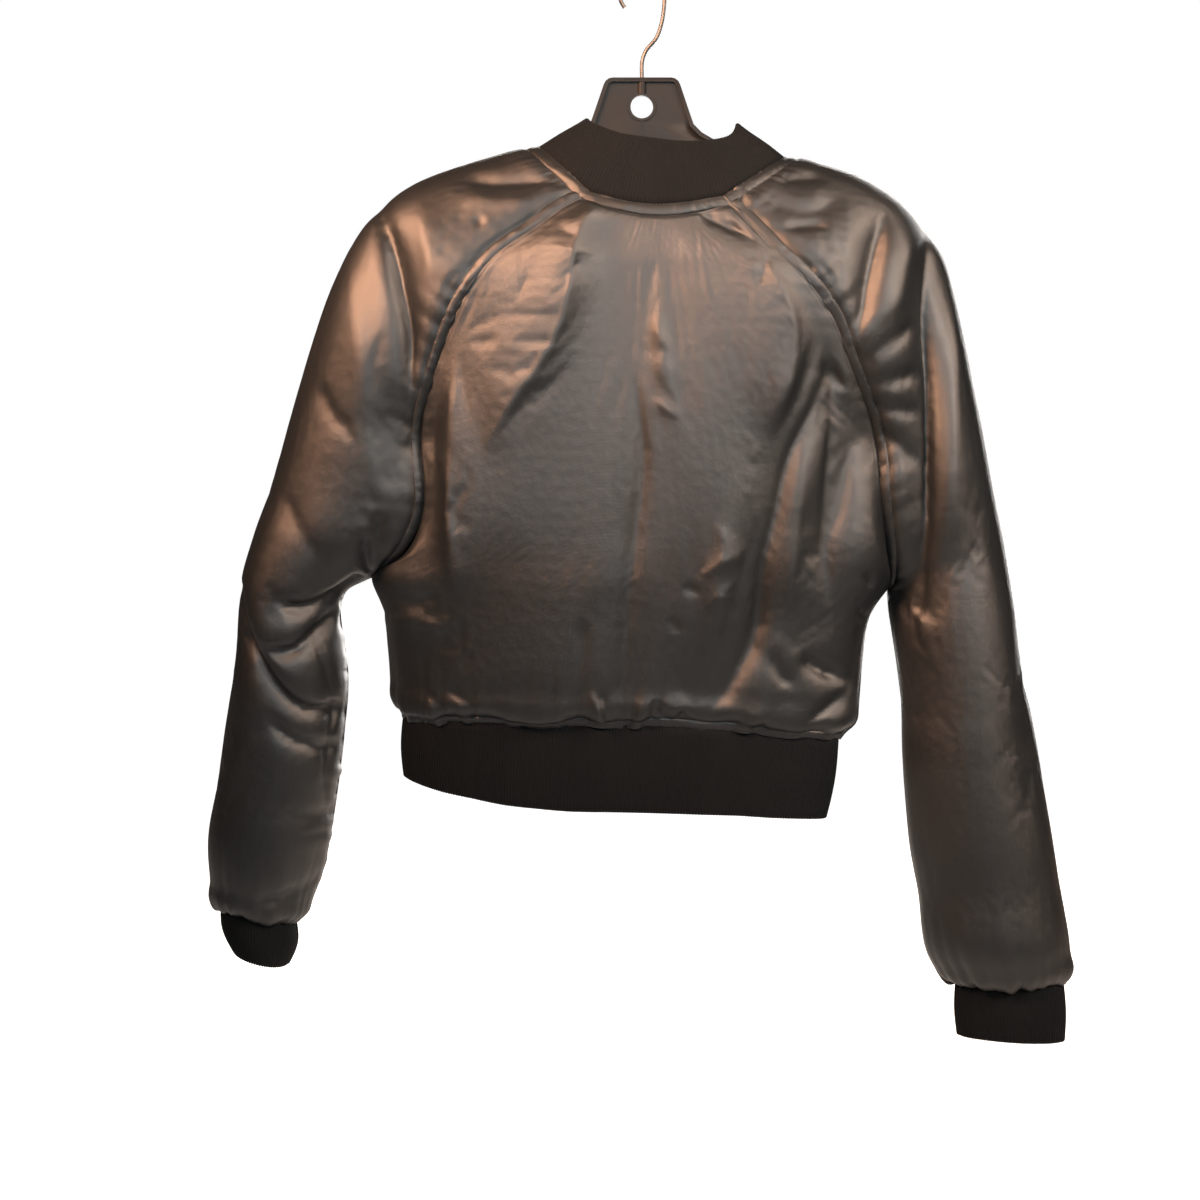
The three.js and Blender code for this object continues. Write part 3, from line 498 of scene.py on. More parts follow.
bands = dict(
    neckWidth=9.2,
    hemWidth=6.6,
    raglanWidth=7.6,
    step=1.2,  # between the points along a band
    sink=0.8,  # how far its stitched edges lie below the cloth
    rise=1.1,
    back=1.9,  # its underside below the cloth
)
seams = dict(turn=1.1, turnWidth=1.9, puffAt=11, puffWidth=8, sagAt=5, sagWidth=6)

edgeNames = ["top", "bottom", "first", "last"]

# how high the cloth swells beside its edges, in mm
puffs = table(
    "top bottom first last",
    [
        (0.3, 2.8, 0.5, 0.5),
        (0.4, 2.6, 0.6, 0.3),
        (0.4, 2.6, 0.3, 0.6),
        (0.5, 3.0, 0.7, 0.7),
        (0.5, 3.0, 0.7, 0.7),
    ],
)
puffOf = dict(zip(shellNames, puffs))
sagOf = dict(back_panel=4.2, front_left=3.5, front_right=3.5, sleeve_left=3.5, sleeve_right=4)


def bandCover(name):
    # how far the bands reach over the cloth from its top, bottom, first and last edge
    rows = len(sheets[name])
    row = np.arange(rows)[:, None]
    sleeve = name.startswith("sleeve")
    raglan = bands["raglanWidth"] * smoothstep((underarmFine + 2 - row) / 4) * sleeve
    return [bands["neckWidth"], 0 if sleeve else bands["hemWidth"], raglan, raglan]


def softNoise(random, grid, cellDown, cellAlong):
    # smooth noise of about unit size over a sheet, in cells of these sizes in mm
    rows, columns = grid.shape[:2]
    down, _, along, _ = edgeDistances(grid)
    high = max(2, round(down[-1].mean() / mm / cellDown)) + 1
    wide = max(2, round(along[:, -1].mean() / mm / cellAlong)) + 1
    values = random.normal(size=(high, wide))
    downWeights = splineWeights(np.linspace(0, 1, high), np.linspace(0, 1, rows))
    return downWeights @ values @ splineWeights(np.linspace(0, 1, wide), np.linspace(0, 1, columns)).T


# Where the cloth is gathered into a seam. start and end are shares of the edge, height and reach are
# in mm, and pitch is the usual width of a gather.
gathers = table(
    "sheet edge start end height reach pitch",
    [
        ("back_panel", "top", 0, 1, 0.1, 11, 9),
        ("back_panel", "bottom", 0, 1, 1.5, 16, 11),
        ("back_panel", "first", 0, 0.62, 0.25, 10, 10),
        ("back_panel", "last", 0, 0.62, 0.25, 10, 10),
        ("front_left", "top", 0, 1, 0.4, 12, 9),
        ("front_left", "bottom", 0, 1, 1.5, 16, 11),
        ("front_right", "top", 0, 1, 0.4, 12, 9),
        ("front_right", "bottom", 0, 1, 1.5, 16, 11),
        ("sleeve_left", "top", 0, 1, 0.5, 12, 8),
        ("sleeve_left", "bottom", 0, 1, 1.8, 18, 10),
        ("sleeve_left", "first", 0, 0.55, 0.5, 12, 10),
        ("sleeve_left", "last", 0, 0.55, 0.6, 14, 10),
        ("sleeve_left", "last", 0.55, 1, 1.0, 12, 11),
        ("sleeve_right", "top", 0, 1, 0.5, 12, 8),
        ("sleeve_right", "bottom", 0, 1, 2.0, 20, 10),
        ("sleeve_right", "first", 0, 0.55, 0.6, 14, 10),
        ("sleeve_right", "last", 0, 0.55, 0.5, 12, 10),
    ],
)


def gatherRise(random, grid, away, row):
    # rounded gathers with narrow creases between, fading with the distance from the seam
    rows, columns = grid.shape[:2]
    sideways = row["edge"] in ("top", "bottom")
    lie = (1, -1) if sideways else (-1, 1)
    middle = grid[rows // 2] if sideways else grid[:, 0]
    count = max(4, round(distances(middle)[-1] / mm / row["pitch"]))
    at = np.linspace(0, 1, columns if sideways else rows)
    weights = splineWeights(np.linspace(0, 1, count), at)
    near, far = np.abs(weights @ random.normal(size=(count, 2))).T
    window = np.ones(len(at))
    if row["start"] > 0:
        window *= smoothstep((at - row["start"]) / 0.05)
    if row["end"] < 1:
        window *= smoothstep((row["end"] - at) / 0.05)
    near, far = (((ridge - 0.7) * window).reshape(lie) for ridge in (near, far))
    away = away / mm
    close = np.exp(-((away / row["reach"]) ** 1.5))
    wide = np.exp(-((away / (2.6 * row["reach"])) ** 1.5))
    return row["height"] * (near * close + 0.5 * far * wide)


def sheetDetail(name, seed):
    grid = sheets[name]
    random = np.random.default_rng(seed)
    edges = edgeDistances(grid)
    cover = bandCover(name)
    beyond = [np.maximum(edge - width * mm, 0) for edge, width in zip(edges, cover)]
    nearest = np.minimum.reduce(beyond) / mm
    toEdge = np.min(edges, axis=0) / mm
    rise = -seams["turn"] * np.exp(-((nearest / seams["turnWidth"]) ** 2)) * smoothstep(toEdge / 2)
    for edge, away in zip(edgeNames, beyond):
        swell = np.exp(-(((away / mm - seams["puffAt"]) / seams["puffWidth"]) ** 2))
        rise += puffOf[name][edge] * swell
    for row in gathers:
        if row["sheet"] == name:
            rise += gatherRise(random, grid, beyond[edgeNames.index(row["edge"])], row)
    inside = smoothstep((nearest - 4) / 14)
    rise += (0.25 * softNoise(random, grid, 100, 28) + 0.08 * softNoise(random, grid, 40, 30)) * inside
    # the cloth hangs over the gathered seam at its bottom
    sag = np.exp(-(((beyond[1] / mm - seams["sagAt"]) / seams["sagWidth"]) ** 2))
    wave = np.clip(0.6 + 0.5 * softNoise(random, grid, 400, 26), 0, 1.5)
    return rise * mm, sag * wave * sagOf[name] * mm


def finishedSheet(name, seed):
    grid, normals = sheets[name], sheetNormals[name]
    rise, sag = sheetDetail(name, seed)
    shaped = grid + normals * rise[:, :, None]
    shaped[:, :, 2] -= sag
    return pressFolds(shaped, creases, margin=6)


# Thin creases, as the folds above.
creases = table(
    foldNames,
    [
        (1, [(66, -192), (56, -197), (46, -202)], -0.8, 7, 7, 1.5, 0, 0),
        (1, [(58, -184), (46, -180), (36, -178)], -0.7, 7, 7, 1.5, 0, 0),
        (1, [(104, -256), (84, -258), (62, -257)], -0.5, 5, 5, 1, 0, 0),
        (1, [(81, -223), (88, -238), (93, -251)], -0.5, 6, 5, 1, 0, 0),
        (1, [(72, -207), (54, -211), (34, -214)], 0.5, 6, 6, 1, 0, 0),
        (1, [(42, -214), (52, -226), (62, -237)], -1.0, 8, 7, 1.5, 0, 0),
        (1, [(122, -184), (120, -189), (118, -194)], -1.2, 4, 4, 1, 0, 0),
        (1, [(-8, -262), (-14, -276), (-20, -286)], 0.9, 5, 5, 1, 0, 0),
        (1, [(-6, -318), (-16, -326), (-28, -334)], 1.0, 5, 5, 1, 0, 0),
        (1, [(-74, -212), (-84, -218), (-92, -224)], -1.1, 7, 6, 1.5, 0, 0),
        (1, [(-92, -214), (-88, -226), (-82, -238)], -1.1, 6, 7, 1.5, 0, 0),
        (1, [(-134, -290), (-142, -302), (-150, -314)], -2.6, 7, 7, 1.5, 0, 0),
        (1, [(-31, -454), (-36, -459), (-42, -463)], -1.4, 5, 5, 1, 0, 0),
        (1, [(-52, -462), (-60, -465), (-68, -464)], 1.2, 5, 5, 1, 0, 0),
        (1, [(-19, -478), (-24, -486), (-29, -492)], -1.2, 5, 5, 1, 0, 0),
        (1, [(-166, -446), (-170, -453), (-174, -461)], -2.6, 5, 5, 1.5, 0, 0),
        (1, [(-160, -478), (-166, -482), (-171, -488)], -2, 5, 5, 1.5, 0, 0),
        (1, [(-158, -536), (-138, -552), (-122, -562)], -3.5, 7, 7, 1.5, 0, 0.6),
        (1, [(38, -532), (34, -544), (30, -558)], 2.2, 5, 5, 1, 0, 1),
        (1, [(32, -532), (29, -544), (25, -558)], -3, 5, 5, 1.2, 0, 1),
        (1, [(-8, -542), (-12, -550), (-17, -560)], -4, 6, 7, 1.5, 0, 1),
        (1, [(-28, -549), (-32, -560)], -2.5, 5, 5, 1.2, 0, 1),
        (1, [(164, -538), (157, -545), (149, -552)], -1.5, 7, 6, 1.5, 0, 0),
        (1, [(152, -531), (138, -541), (122, -550)], -1.5, 8, 6, 1.5, 0, 0),
        (1, [(249, -466), (247, -495), (239, -524), (236, -550), (241, -588), (242, -660)],
         -1.8, 5, 5, 1, 0, 0),
        (1, [(68, -146), (58, -149), (46, -152)], -1.6, 4, 4, 1, 0, 0.7),
        (1, [(72, -152), (60, -155), (44, -158)], -1.6, 4, 4, 1, 0, 0.7),
    ],
)

sheetSizes = dict(
    back_panel=dict(flat=(0.50, 0.44), area=0.142),
    front_left=dict(flat=(0.26, 0.42), area=0.069),
    front_right=dict(flat=(0.26, 0.42), area=0.067),
    sleeve_left=dict(flat=(0.36, 0.64), area=0.179),
    sleeve_right=dict(flat=(0.36, 0.66), area=0.185),
    rib_collar=dict(flat=(0.47, 0.05), area=None),
    rib_hem=dict(flat=(0.80, 0.06), area=None),
    cuff_left=dict(flat=(0.17, 0.05), area=None),
    cuff_right=dict(flat=(0.17, 0.05), area=None),
)


def handOver(obj, slot, *replaced):
    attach(obj, "root")
    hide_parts(*replaced)
    return obj


wadding = 2.4


def shellPiece(name, seed):
    grid = finishedSheet(name, seed)
    down, _, along, _ = edgeDistances(grid)
    middle = along - along[:, -1:] / 2
    rows, columns = grid.shape[:2]
    obj = meshObject("shell_" + name, grid.reshape(-1, 3), gridFaces(rows, columns))
    giveClothMap(obj, np.stack([middle, down, np.zeros_like(down)], axis=2).reshape(-1, 3))
    walled = obj.modifiers.new("wadding", "SOLIDIFY")
    walled.thickness = wadding * mm
    walled.offset = -1
    return handOver(obj, "satin", name)


shellPieces = {name: shellPiece(name, 11 + i) for i, name in enumerate(shellNames)}
print("shell:", sum(len(o.data.vertices) for o in shellPieces.values()), "points")


def recalculated(obj):
    shape = bmesh.new()
    shape.from_mesh(obj.data)
    bmesh.ops.recalc_face_normals(shape, faces=shape.faces)
    shape.to_mesh(obj.data)
    shape.free()
    return obj


def stripFaces(stations, ring):
    # a closed ring of points at each station, with both ends closed
    i, k = np.meshgrid(np.arange(stations - 1), np.arange(ring), indexing="ij")
    a = (i * ring + k).ravel()
    b = (i * ring + (k + 1) % ring).ravel()
    sides = np.stack([a, b, b + ring, a + ring], axis=1)
    k = np.arange(ring // 2 - 1)
    cap = np.stack([k, k + 1, ring - 2 - k, ring - 1 - k], axis=1)
    return np.concatenate([sides, cap, (stations - 1) * ring + cap])


def withNormals(name):
    return np.concatenate([sheets[name], sheetNormals[name]], axis=2)


def readAt(where, at, values):
    # the values, known at these distances, read at others
    return np.stack([np.interp(where, at, column) for column in values.T], axis=1)


def edgeStrip(lines, reach):
    # lines run away from a seam; each is read at these distances from it
    out = []
    for line in lines:
        line = np.concatenate([2 * line[:1] - line[1:2], line])
        at = distances(line[:, :3])
        at -= at[1]
        out.append(readAt(reach, at, line))
    return np.array(out)


def evenly(strip, step):
    at = distances(strip[:, strip.shape[1] // 2, :3])
    new = np.linspace(0, at[-1], round(at[-1] / step) + 1)
    out = np.stack([readAt(new, at, strip[:, j]) for j in range(strip.shape[1])], axis=1)
    out[:, :, 3:] = unit(out[:, :, 3:])
    return new, out


stitch = dict(length=2.7, gap=0.9, thick=0.2, rings=5, sides=5, inset=0.11)


def stitchShape():
    # one stitch: a short thread that dips into the cloth at its ends
    shape, count = [], stitch["rings"]
    for i in range(count):
        t = i / (count - 1)
        thick = math.sqrt(max(1 - (2 * t - 1) ** 4, 0.12))
        for k in range(stitch["sides"]):
            turn = math.tau * k / stitch["sides"]
            dip = 1.3 * math.sin(math.pi * t) - 0.9
            shape.append((t - 0.5, thick * math.cos(turn), thick * math.sin(turn) + dip))
    return np.array(shape)


def stitchesAlong(line, normals):
    # stitches on a line on the cloth, with the cloth's normals
    shape = stitchShape()
    at = distances(line)
    count = int(at[-1] / mm / (stitch["length"] + stitch["gap"]))
    centres = (np.arange(count) + 0.5) * at[-1] / count
    half = stitch["length"] * mm / 2
    start, end = readAt(centres - half, at, line), readAt(centres + half, at, line)
    up = unit(readAt(centres, at, normals))
    ahead = unit(end - start)
    aside = np.cross(ahead, up)
    middle = (start + end) / 2
    points = (
        middle[:, None]
        + ahead[:, None] * shape[None, :, :1] * stitch["length"] * mm
        + aside[:, None] * shape[None, :, 1:2] * stitch["thick"] * mm
        + up[:, None] * shape[None, :, 2:] * stitch["thick"] * mm
    )
    ring, rings = stitch["sides"], stitch["rings"]
    i, k = np.meshgrid(np.arange(rings - 1), np.arange(ring), indexing="ij")
    a, b = (i * ring + k).ravel(), (i * ring + (k + 1) % ring).ravel()
    one = np.stack([a, a + ring, b + ring, b], axis=1)
    faces = (one[None] + (np.arange(count) * ring * rings)[:, None, None]).reshape(-1, 4)
    return points.reshape(-1, 3), faces


def bandPiece(name, strip, width, seed, slants=(), nodesReplaced=(), puckered=0.06):
    at, strip = evenly(strip, bands["step"] * mm)
    random = np.random.default_rng(seed)
    count = strip.shape[1]
    share = np.linspace(0, 1, count)
    crown = np.sin(math.pi * share) ** 0.6
    total = at[-1] / mm
    # puckers: noise along the band, drawn out across it
    cells = max(4, round(total / 3.6))
    fine = random.normal(size=cells)
    broad = random.normal(size=max(4, round(total / 11)))
    lean = np.zeros(len(at))
    for low, high, amount in slants:
        lean += amount * smoothstep((at / at[-1] - low) / 0.03) * smoothstep((high - at / at[-1]) / 0.03)
    where = at[:, None] / mm + lean[:, None] * width * (share[None] - 0.5)
    pucker = np.interp(where, np.linspace(0, total, cells), fine)
    swell = np.interp(where, np.linspace(0, total, len(broad)), broad)
    height = bands["rise"] * crown[None] * (1 + 0.1 * pucker + 0.08 * swell)
    height += puckered * pucker * crown[None] ** 0.5 - bands["sink"]
    points, normals = strip[:, :, :3], strip[:, :, 3:]
    outer = points + normals * height[:, :, None] * mm
    inner = points - normals * bands["back"] * mm
    ring = np.concatenate([outer, inner[:, ::-1]], axis=1)
    faces = stripFaces(len(at), 2 * count)
    joined, allFaces = [ring.reshape(-1, 3)], [faces]
    first = len(joined[0])
    materials = [0] * len(faces)
    surface = normalsOf(outer)
    surface *= np.sign((surface * normals).sum(axis=2, keepdims=True))
    for side in (stitch["inset"], 1 - stitch["inset"]):
        k = side * (count - 1)
        low, part = int(k), k - int(k)
        line = outer[:, low] * (1 - part) + outer[:, low + 1] * part
        more, their = stitchesAlong(line, surface[:, round(k)])
        joined.append(more)
        allFaces.append(their + first)
        first += len(more)
        materials += [1] * len(their)
    obj = recalculated(meshObject(name, np.concatenate(joined), np.concatenate(allFaces)))
    obj.data.polygons.foreach_set("material_index", materials)
    along = np.repeat(at[:, None], 2 * count, axis=1)
    across = np.concatenate([share, share[::-1]])[None] * width * mm + 0 * along
    flat = np.stack([across, along, 0 * along], axis=2).reshape(-1, 3)
    giveClothMap(obj, np.concatenate([flat, np.zeros((len(obj.data.vertices) - len(flat), 3))]))
    return handOver(obj, "satin", *nodesReplaced)


def reachOf(width):
    return np.linspace(-0.7, width, 10) * mm


print("bands")
neckOrder = ["front_left", "sleeve_left", "back_panel", "sleeve_right", "front_right"]
bodyOrder = ["front_left", "back_panel", "front_right"]
neckLines = [line for name in neckOrder for line in withNormals(name).transpose(1, 0, 2)[:, :12]]
hemLines = [line for name in bodyOrder for line in withNormals(name).transpose(1, 0, 2)[:, :-10:-1]]
neckSlants = [(0.66, 0.76, 1.4), (0.26, 0.33, -1.0)]  # from, to (shares of the band) and how much
neckWidth, hemWidth, raglanWidth = (bands[key] for key in ("neckWidth", "hemWidth", "raglanWidth"))
neckStrip, hemStrip = edgeStrip(neckLines, reachOf(neckWidth)), edgeStrip(hemLines, reachOf(hemWidth))
bandPieces = {
    "neck": bandPiece("neck_seam_band", neckStrip, neckWidth, 41, neckSlants, ["neck_band"], 0.16),
    "hem": bandPiece("hem_seam_band", hemStrip, hemWidth, 42, (), ["hem_band"]),
}
for place, sheet, backward in (
    ("front_left", "sleeve_left", False),
    ("back_left", "sleeve_left", True),
    ("back_right", "sleeve_right", False),
    ("front_right", "sleeve_right", True),
):
    lines = withNormals(sheet)[4 : underarmFine + 1]
    lines = lines[:, ::-1][:, :12] if backward else lines[:, :12]
    strip = edgeStrip(lines, reachOf(raglanWidth))
    seed = 43 + len(bandPieces)
    name = "raglan_seam_band_" + place
    bandPieces[place] = bandPiece(name, strip, raglanWidth, seed, (), ["raglan_band_" + place])

rib = dict(pitch=2.3, depth=0.3, step=0.55, wall=3, rows=9, edgeSteps=6)
ribs = table(
    "node freeEdge seed",
    [
        ("rib_collar", "top", 61),
        ("rib_hem", "bottom", 62),
        ("cuff_left", "bottom", 63),
        ("cuff_right", "bottom", 64),
    ],
)


def ribPiece(node, freeEdge, seed):
    grid = coarse[node]
    length = np.mean([distances(row)[-1] for row in grid]) / mm
    count = round(length / rib["step"])
    grid = np.array([resample(row, count) for row in grid])
    normals = normalsOf(grid)
    knots = np.concatenate([[0], np.cumsum(meanRows(grid))])
    total, radius = knots[-1] / mm, rib["wall"] / 2
    # the section: down the outside, round the free edge and back up the inside
    flat = np.linspace(0, total - radius, rib["rows"], endpoint=False)
    turn = np.linspace(0, math.pi, 2 * rib["edgeSteps"])
    reach = np.concatenate([flat, total - radius + radius * np.sin(turn), flat[::-1]])
    depth = np.concatenate([0 * flat, radius * (1 - np.cos(turn)), 0 * flat + rib["wall"]])
    tiltDown = np.concatenate([0 * flat, np.sin(turn), 0 * flat])
    tiltOut = np.concatenate([0 * flat + 1, np.cos(turn), 0 * flat - 1])
    at = (total - reach if freeEdge == "top" else reach) * mm
    weights = splineWeights(knots, at)
    points = np.einsum("rk,kcx->crx", weights, grid)
    out = unit(np.einsum("rk,kcx->crx", weights, normals))
    downward = unit(grid[-1] - grid[0]) * (-1 if freeEdge == "top" else 1)
    random = np.random.default_rng(seed)
    s = np.linspace(0, length, count)
    cells = max(4, round(length / 25))
    drift = np.interp(s, np.linspace(0, length, cells), random.normal(size=cells))
    deep = np.interp(s, np.linspace(0, length, cells), random.normal(size=cells))
    wave = np.cos(math.tau * (s + 0.25 * drift) / rib["pitch"])
    height = rib["depth"] * (wave * (1 + 0.15 * deep) - 1) + 0.25 * deep
    ring = points + out * ((height[:, None] * tiltOut - depth) * mm)[:, :, None]
    ring += downward[:, None] * (height[:, None] * tiltDown * mm)[:, :, None]
    obj = recalculated(meshObject("knit_" + node, ring.reshape(-1, 3), stripFaces(count, len(reach))))
    drifted = (s + 0.25 * drift)[:, None]
    places = np.stack(np.broadcast_arrays(drifted, reach + depth, 0.0), axis=2) * mm
    giveClothMap(obj, places.reshape(-1, 3))
    return handOver(obj, "rib_knit", node)


print("ribs")
ribPieces = {row["node"]: ribPiece(**row) for row in ribs}

zipSizes = dict(
    inner=0.9,  # the tapes' edges from the centre line
    outer=10.5,
    thick=0.9,
    depth=0.7,  # below the cloth
    toothPitch=2.5,
    toothLong=3.2,
    toothPast=0.9,  # across the centre line
    toothWide=1.18,
    toothThick=1.3,
    step=1.6,
)


def zipLine():
    # points down the middle of the front, with the directions across and out
    left = np.concatenate([coarse["front_left"][:, 0], coarse["rib_hem"][:, 0][1:]])
    right = np.concatenate([coarse["front_right"][:, -1], coarse["rib_hem"][:, -1][1:]])
    middle, across = (left + right) / 2, unit(left - right)
    at = distances(middle)
    new = np.linspace(0, at[-1], round(at[-1] / mm / zipSizes["step"]))
    weights = splineWeights(at, new)
    middle, across = weights @ middle, unit(weights @ across)
    out = unit(np.cross(across, np.gradient(middle, axis=0)))
    out *= -np.sign(out[:, 1:2])
    return new, middle, across, out


def tapePiece(name, side, node):
    at, middle, across, out = zipAt
    wide = np.linspace(zipSizes["inner"], zipSizes["outer"], 7) * side
    bead = 0.35 * np.exp(-(((np.abs(wide) - zipSizes["inner"] - 1.2) / 1.0) ** 2))
    rings = []
    for level in (-zipSizes["depth"], -zipSizes["depth"] - zipSizes["thick"]):
        lift = level + bead * (level == -zipSizes["depth"])
        beside, above = (wide * mm)[:, None], (lift * mm)[:, None]
        rings.append(middle[:, None] + across[:, None] * beside + out[:, None] * above)
    ring = np.concatenate([rings[0], rings[1][:, ::-1]], axis=1)
    obj = recalculated(meshObject(name, ring.reshape(-1, 3), stripFaces(len(at), ring.shape[1])))
    both = np.concatenate([wide, wide[::-1]]) * mm
    places = np.stack(np.broadcast_arrays(both, at[:, None], 0.0), axis=2)
    giveClothMap(obj, places.reshape(-1, 3))
    return handOver(obj, "zip_tape", node)


def teethPiece():
    at, middle, across, out = zipAt
    half = zipSizes["toothPitch"] / 2
    count = int((at[-1] / mm - 1) / half)
    places = (0.5 + half * (0.5 + np.arange(count))) * mm
    centre = readAt(places, at, middle)
    wide, up = unit(readAt(places, at, across)), unit(readAt(places, at, out))
    ahead = np.cross(wide, up)
    corners = []
    halfLong, deep, thick = (zipSizes[k] / 2 for k in ("toothLong", "toothWide", "toothThick"))
    for x in (-1, 1):
        for y in (-1, 1):
            for z in (-1, 1):
                corners.append((x * halfLong, y * deep * (0.8 if x < 0 else 1), z * thick))
    corners = np.array(corners) * mm
    side = np.where(np.arange(count) % 2, 1, -1)[:, None, None]
    base = centre[:, None] + wide[:, None] * side * (halfLong - zipSizes["toothPast"]) * mm
    base = base - up[:, None] * 0.1 * mm
    points = base + wide[:, None] * corners[None, :, :1] * side + ahead[:, None] * corners[None, :, 1:2]
    points = points + up[:, None] * corners[None, :, 2:]
    box = np.array([(0, 1, 3, 2), (4, 6, 7, 5), (0, 4, 5, 1), (2, 3, 7, 6), (0, 2, 6, 4), (1, 5, 7, 3)])
    faces = (box[None] + 8 * np.arange(count)[:, None, None]).reshape(-1, 4)
    obj = recalculated(meshObject("zip_teeth", points.reshape(-1, 3), faces))
    rounded = obj.modifiers.new("rounded", "BEVEL")
    rounded.width = 0.22 * mm
    rounded.segments = 2
    return handOver(obj, "zip_metal", "zip_chain")


print("zip")
zipAt = zipLine()
tapes = [
    tapePiece("zip_tape_wearer_left", 1, "zip_tape_left"),
    tapePiece("zip_tape_wearer_right", -1, "zip_tape_right"),
]
teeth = teethPiece()


# The hard parts keep their own shape. Rounding is in mm, angles are in degrees.
hardEdges = dict(
    rounding=dict(hanger_body=0.5, hanger_hook=0, zip_slider=0.25, zip_pull=0.2),
    roundedOver=40,
    smoothUnder=32,
)


def smoothByAngle():
    tree = bpy.data.node_groups.new("smoothByAngle", "GeometryNodeTree")
    tree.interface.new_socket("Geometry", in_out="INPUT", socket_type="NodeSocketGeometry")
    tree.interface.new_socket("Geometry", in_out="OUTPUT", socket_type="NodeSocketGeometry")
    start, end = tree.nodes.new("NodeGroupInput"), tree.nodes.new("NodeGroupOutput")
    faces, edges = (tree.nodes.new("GeometryNodeSetShadeSmooth") for _ in range(2))
    edges.domain = "EDGE"
    angle = tree.nodes.new("GeometryNodeInputMeshEdgeAngle")
    flat = tree.nodes.new("FunctionNodeCompare")
    flat.operation = "LESS_EQUAL"
    flat.inputs["B"].default_value = math.radians(hardEdges["smoothUnder"])
    tree.links.new(start.outputs[0], faces.inputs["Geometry"])
    tree.links.new(faces.outputs[0], edges.inputs["Geometry"])
    tree.links.new(angle.outputs["Unsigned Angle"], flat.inputs["A"])
    tree.links.new(flat.outputs["Result"], edges.inputs["Shade Smooth"])
    tree.links.new(edges.outputs[0], end.inputs[0])
    return tree


smoothing = smoothByAngle()
for node, radius in hardEdges["rounding"].items():
    obj = nodes[node]
    joined = obj.modifiers.new("joined", "WELD")
    joined.merge_threshold = 0.01 * mm
    if radius:
        rounded = obj.modifiers.new("rounded", "BEVEL")
        rounded.width = radius * mm
        rounded.segments = 3
        rounded.limit_method = "ANGLE"
        rounded.angle_limit = math.radians(hardEdges["roundedOver"])
    smoothed = obj.modifiers.new("smoothed", "NODES")
    smoothed.node_group = smoothing


def feed(tree, socket, value):
    if isinstance(value, bpy.types.NodeSocket):
        tree.links.new(value, socket)
    else:
        socket.default_value = value


def calc(tree, operation, *values):
    node = tree.nodes.new("ShaderNodeMath")
    node.operation = operation
    for socket, value in zip(node.inputs, values):
        feed(tree, socket, value)
    return node.outputs[0]


def newGroup(name, inputs, outputs):
    tree = bpy.data.node_groups.new(name, "ShaderNodeTree")
    for label, value in inputs:
        tree.interface.new_socket(label, in_out="INPUT", socket_type="NodeSocketFloat").default_value = value
    for label in outputs:
        tree.interface.new_socket(label, in_out="OUTPUT", socket_type="NodeSocketFloat")
    return tree, tree.nodes.new("NodeGroupInput").outputs, tree.nodes.new("NodeGroupOutput").inputs


def clothPlace(tree):
    place = tree.nodes.new("ShaderNodeAttribute")
    place.attribute_name = "clothMap"
    parts = tree.nodes.new("ShaderNodeSeparateXYZ")
    tree.links.new(place.outputs["Vector"], parts.inputs[0])
    return parts.outputs["X"], parts.outputs["Y"]


def noiseAt(tree, vector, scale, detail=3):
    node = tree.nodes.new("ShaderNodeTexNoise")
    node.inputs["Detail"].default_value = detail
    feed(tree, node.inputs["Scale"], scale)
    tree.links.new(vector, node.inputs["Vector"])
    return node.outputs["Fac"]


def objectPlace(tree):
    return tree.nodes.new("ShaderNodeTexCoord").outputs["Object"]


def weaveGroup():
    # threads along and across the cloth, and slubs drawn out along the warp
    tree, given, wanted = newGroup("woven threads", [("Pitch", 0.0005), ("Slope", 0.25)], ["Height", "Slub"])
    x, y = clothPlace(tree)
    warp = calc(tree, "DIVIDE", x, given["Pitch"])
    weft = calc(tree, "DIVIDE", y, given["Pitch"])
    leaning = calc(tree, "MULTIPLY_ADD", warp, given["Slope"], weft)
    tall = calc(tree, "SINE", calc(tree, "MULTIPLY", warp, math.tau))
    flat = calc(tree, "SINE", calc(tree, "MULTIPLY", leaning, math.tau / 2))
    tree.links.new(calc(tree, "MULTIPLY_ADD", flat, 0.6, tall), wanted["Height"])
    drawn = tree.nodes.new("ShaderNodeCombineXYZ")
    tree.links.new(calc(tree, "MULTIPLY", x, 900), drawn.inputs["X"])
    tree.links.new(calc(tree, "MULTIPLY", y, 60), drawn.inputs["Y"])
    tree.links.new(noiseAt(tree, drawn.outputs[0], 1.0, 2), wanted["Slub"])
    return tree


def handlingGroup():
    # broad and fine unevenness from use, from 0 to 1
    tree, given, wanted = newGroup("handling", [("Scale", 20)], ["Mask", "Speck"])
    place = objectPlace(tree)
    tree.links.new(noiseAt(tree, place, given["Scale"]), wanted["Mask"])
    fine = calc(tree, "MULTIPLY", given["Scale"], 22)
    tree.links.new(noiseAt(tree, place, fine, 1), wanted["Speck"])
    return tree


weave, handling = weaveGroup(), handlingGroup()


def newMaterial(name, **fixed):
    made = bpy.data.materials.new(name)
    made.use_nodes = True
    shader = made.node_tree.nodes["Principled BSDF"]
    for label, value in fixed.items():
        shader.inputs[label.replace("_", " ")].default_value = value
    return made, made.node_tree, shader


def placeGroup(tree, group, **values):
    node = tree.nodes.new("ShaderNodeGroup")
    node.node_tree = group
    for label, value in values.items():
        node.inputs[label].default_value = value
    return node.outputs


def blendColour(tree, mask, dark, light):
    node = tree.nodes.new("ShaderNodeMix")
    node.data_type = "RGBA"
    tree.links.new(mask, node.inputs["Factor"])
    node.inputs["A"].default_value = (*dark, 1)
    node.inputs["B"].default_value = (*light, 1)
    return node.outputs["Result"]


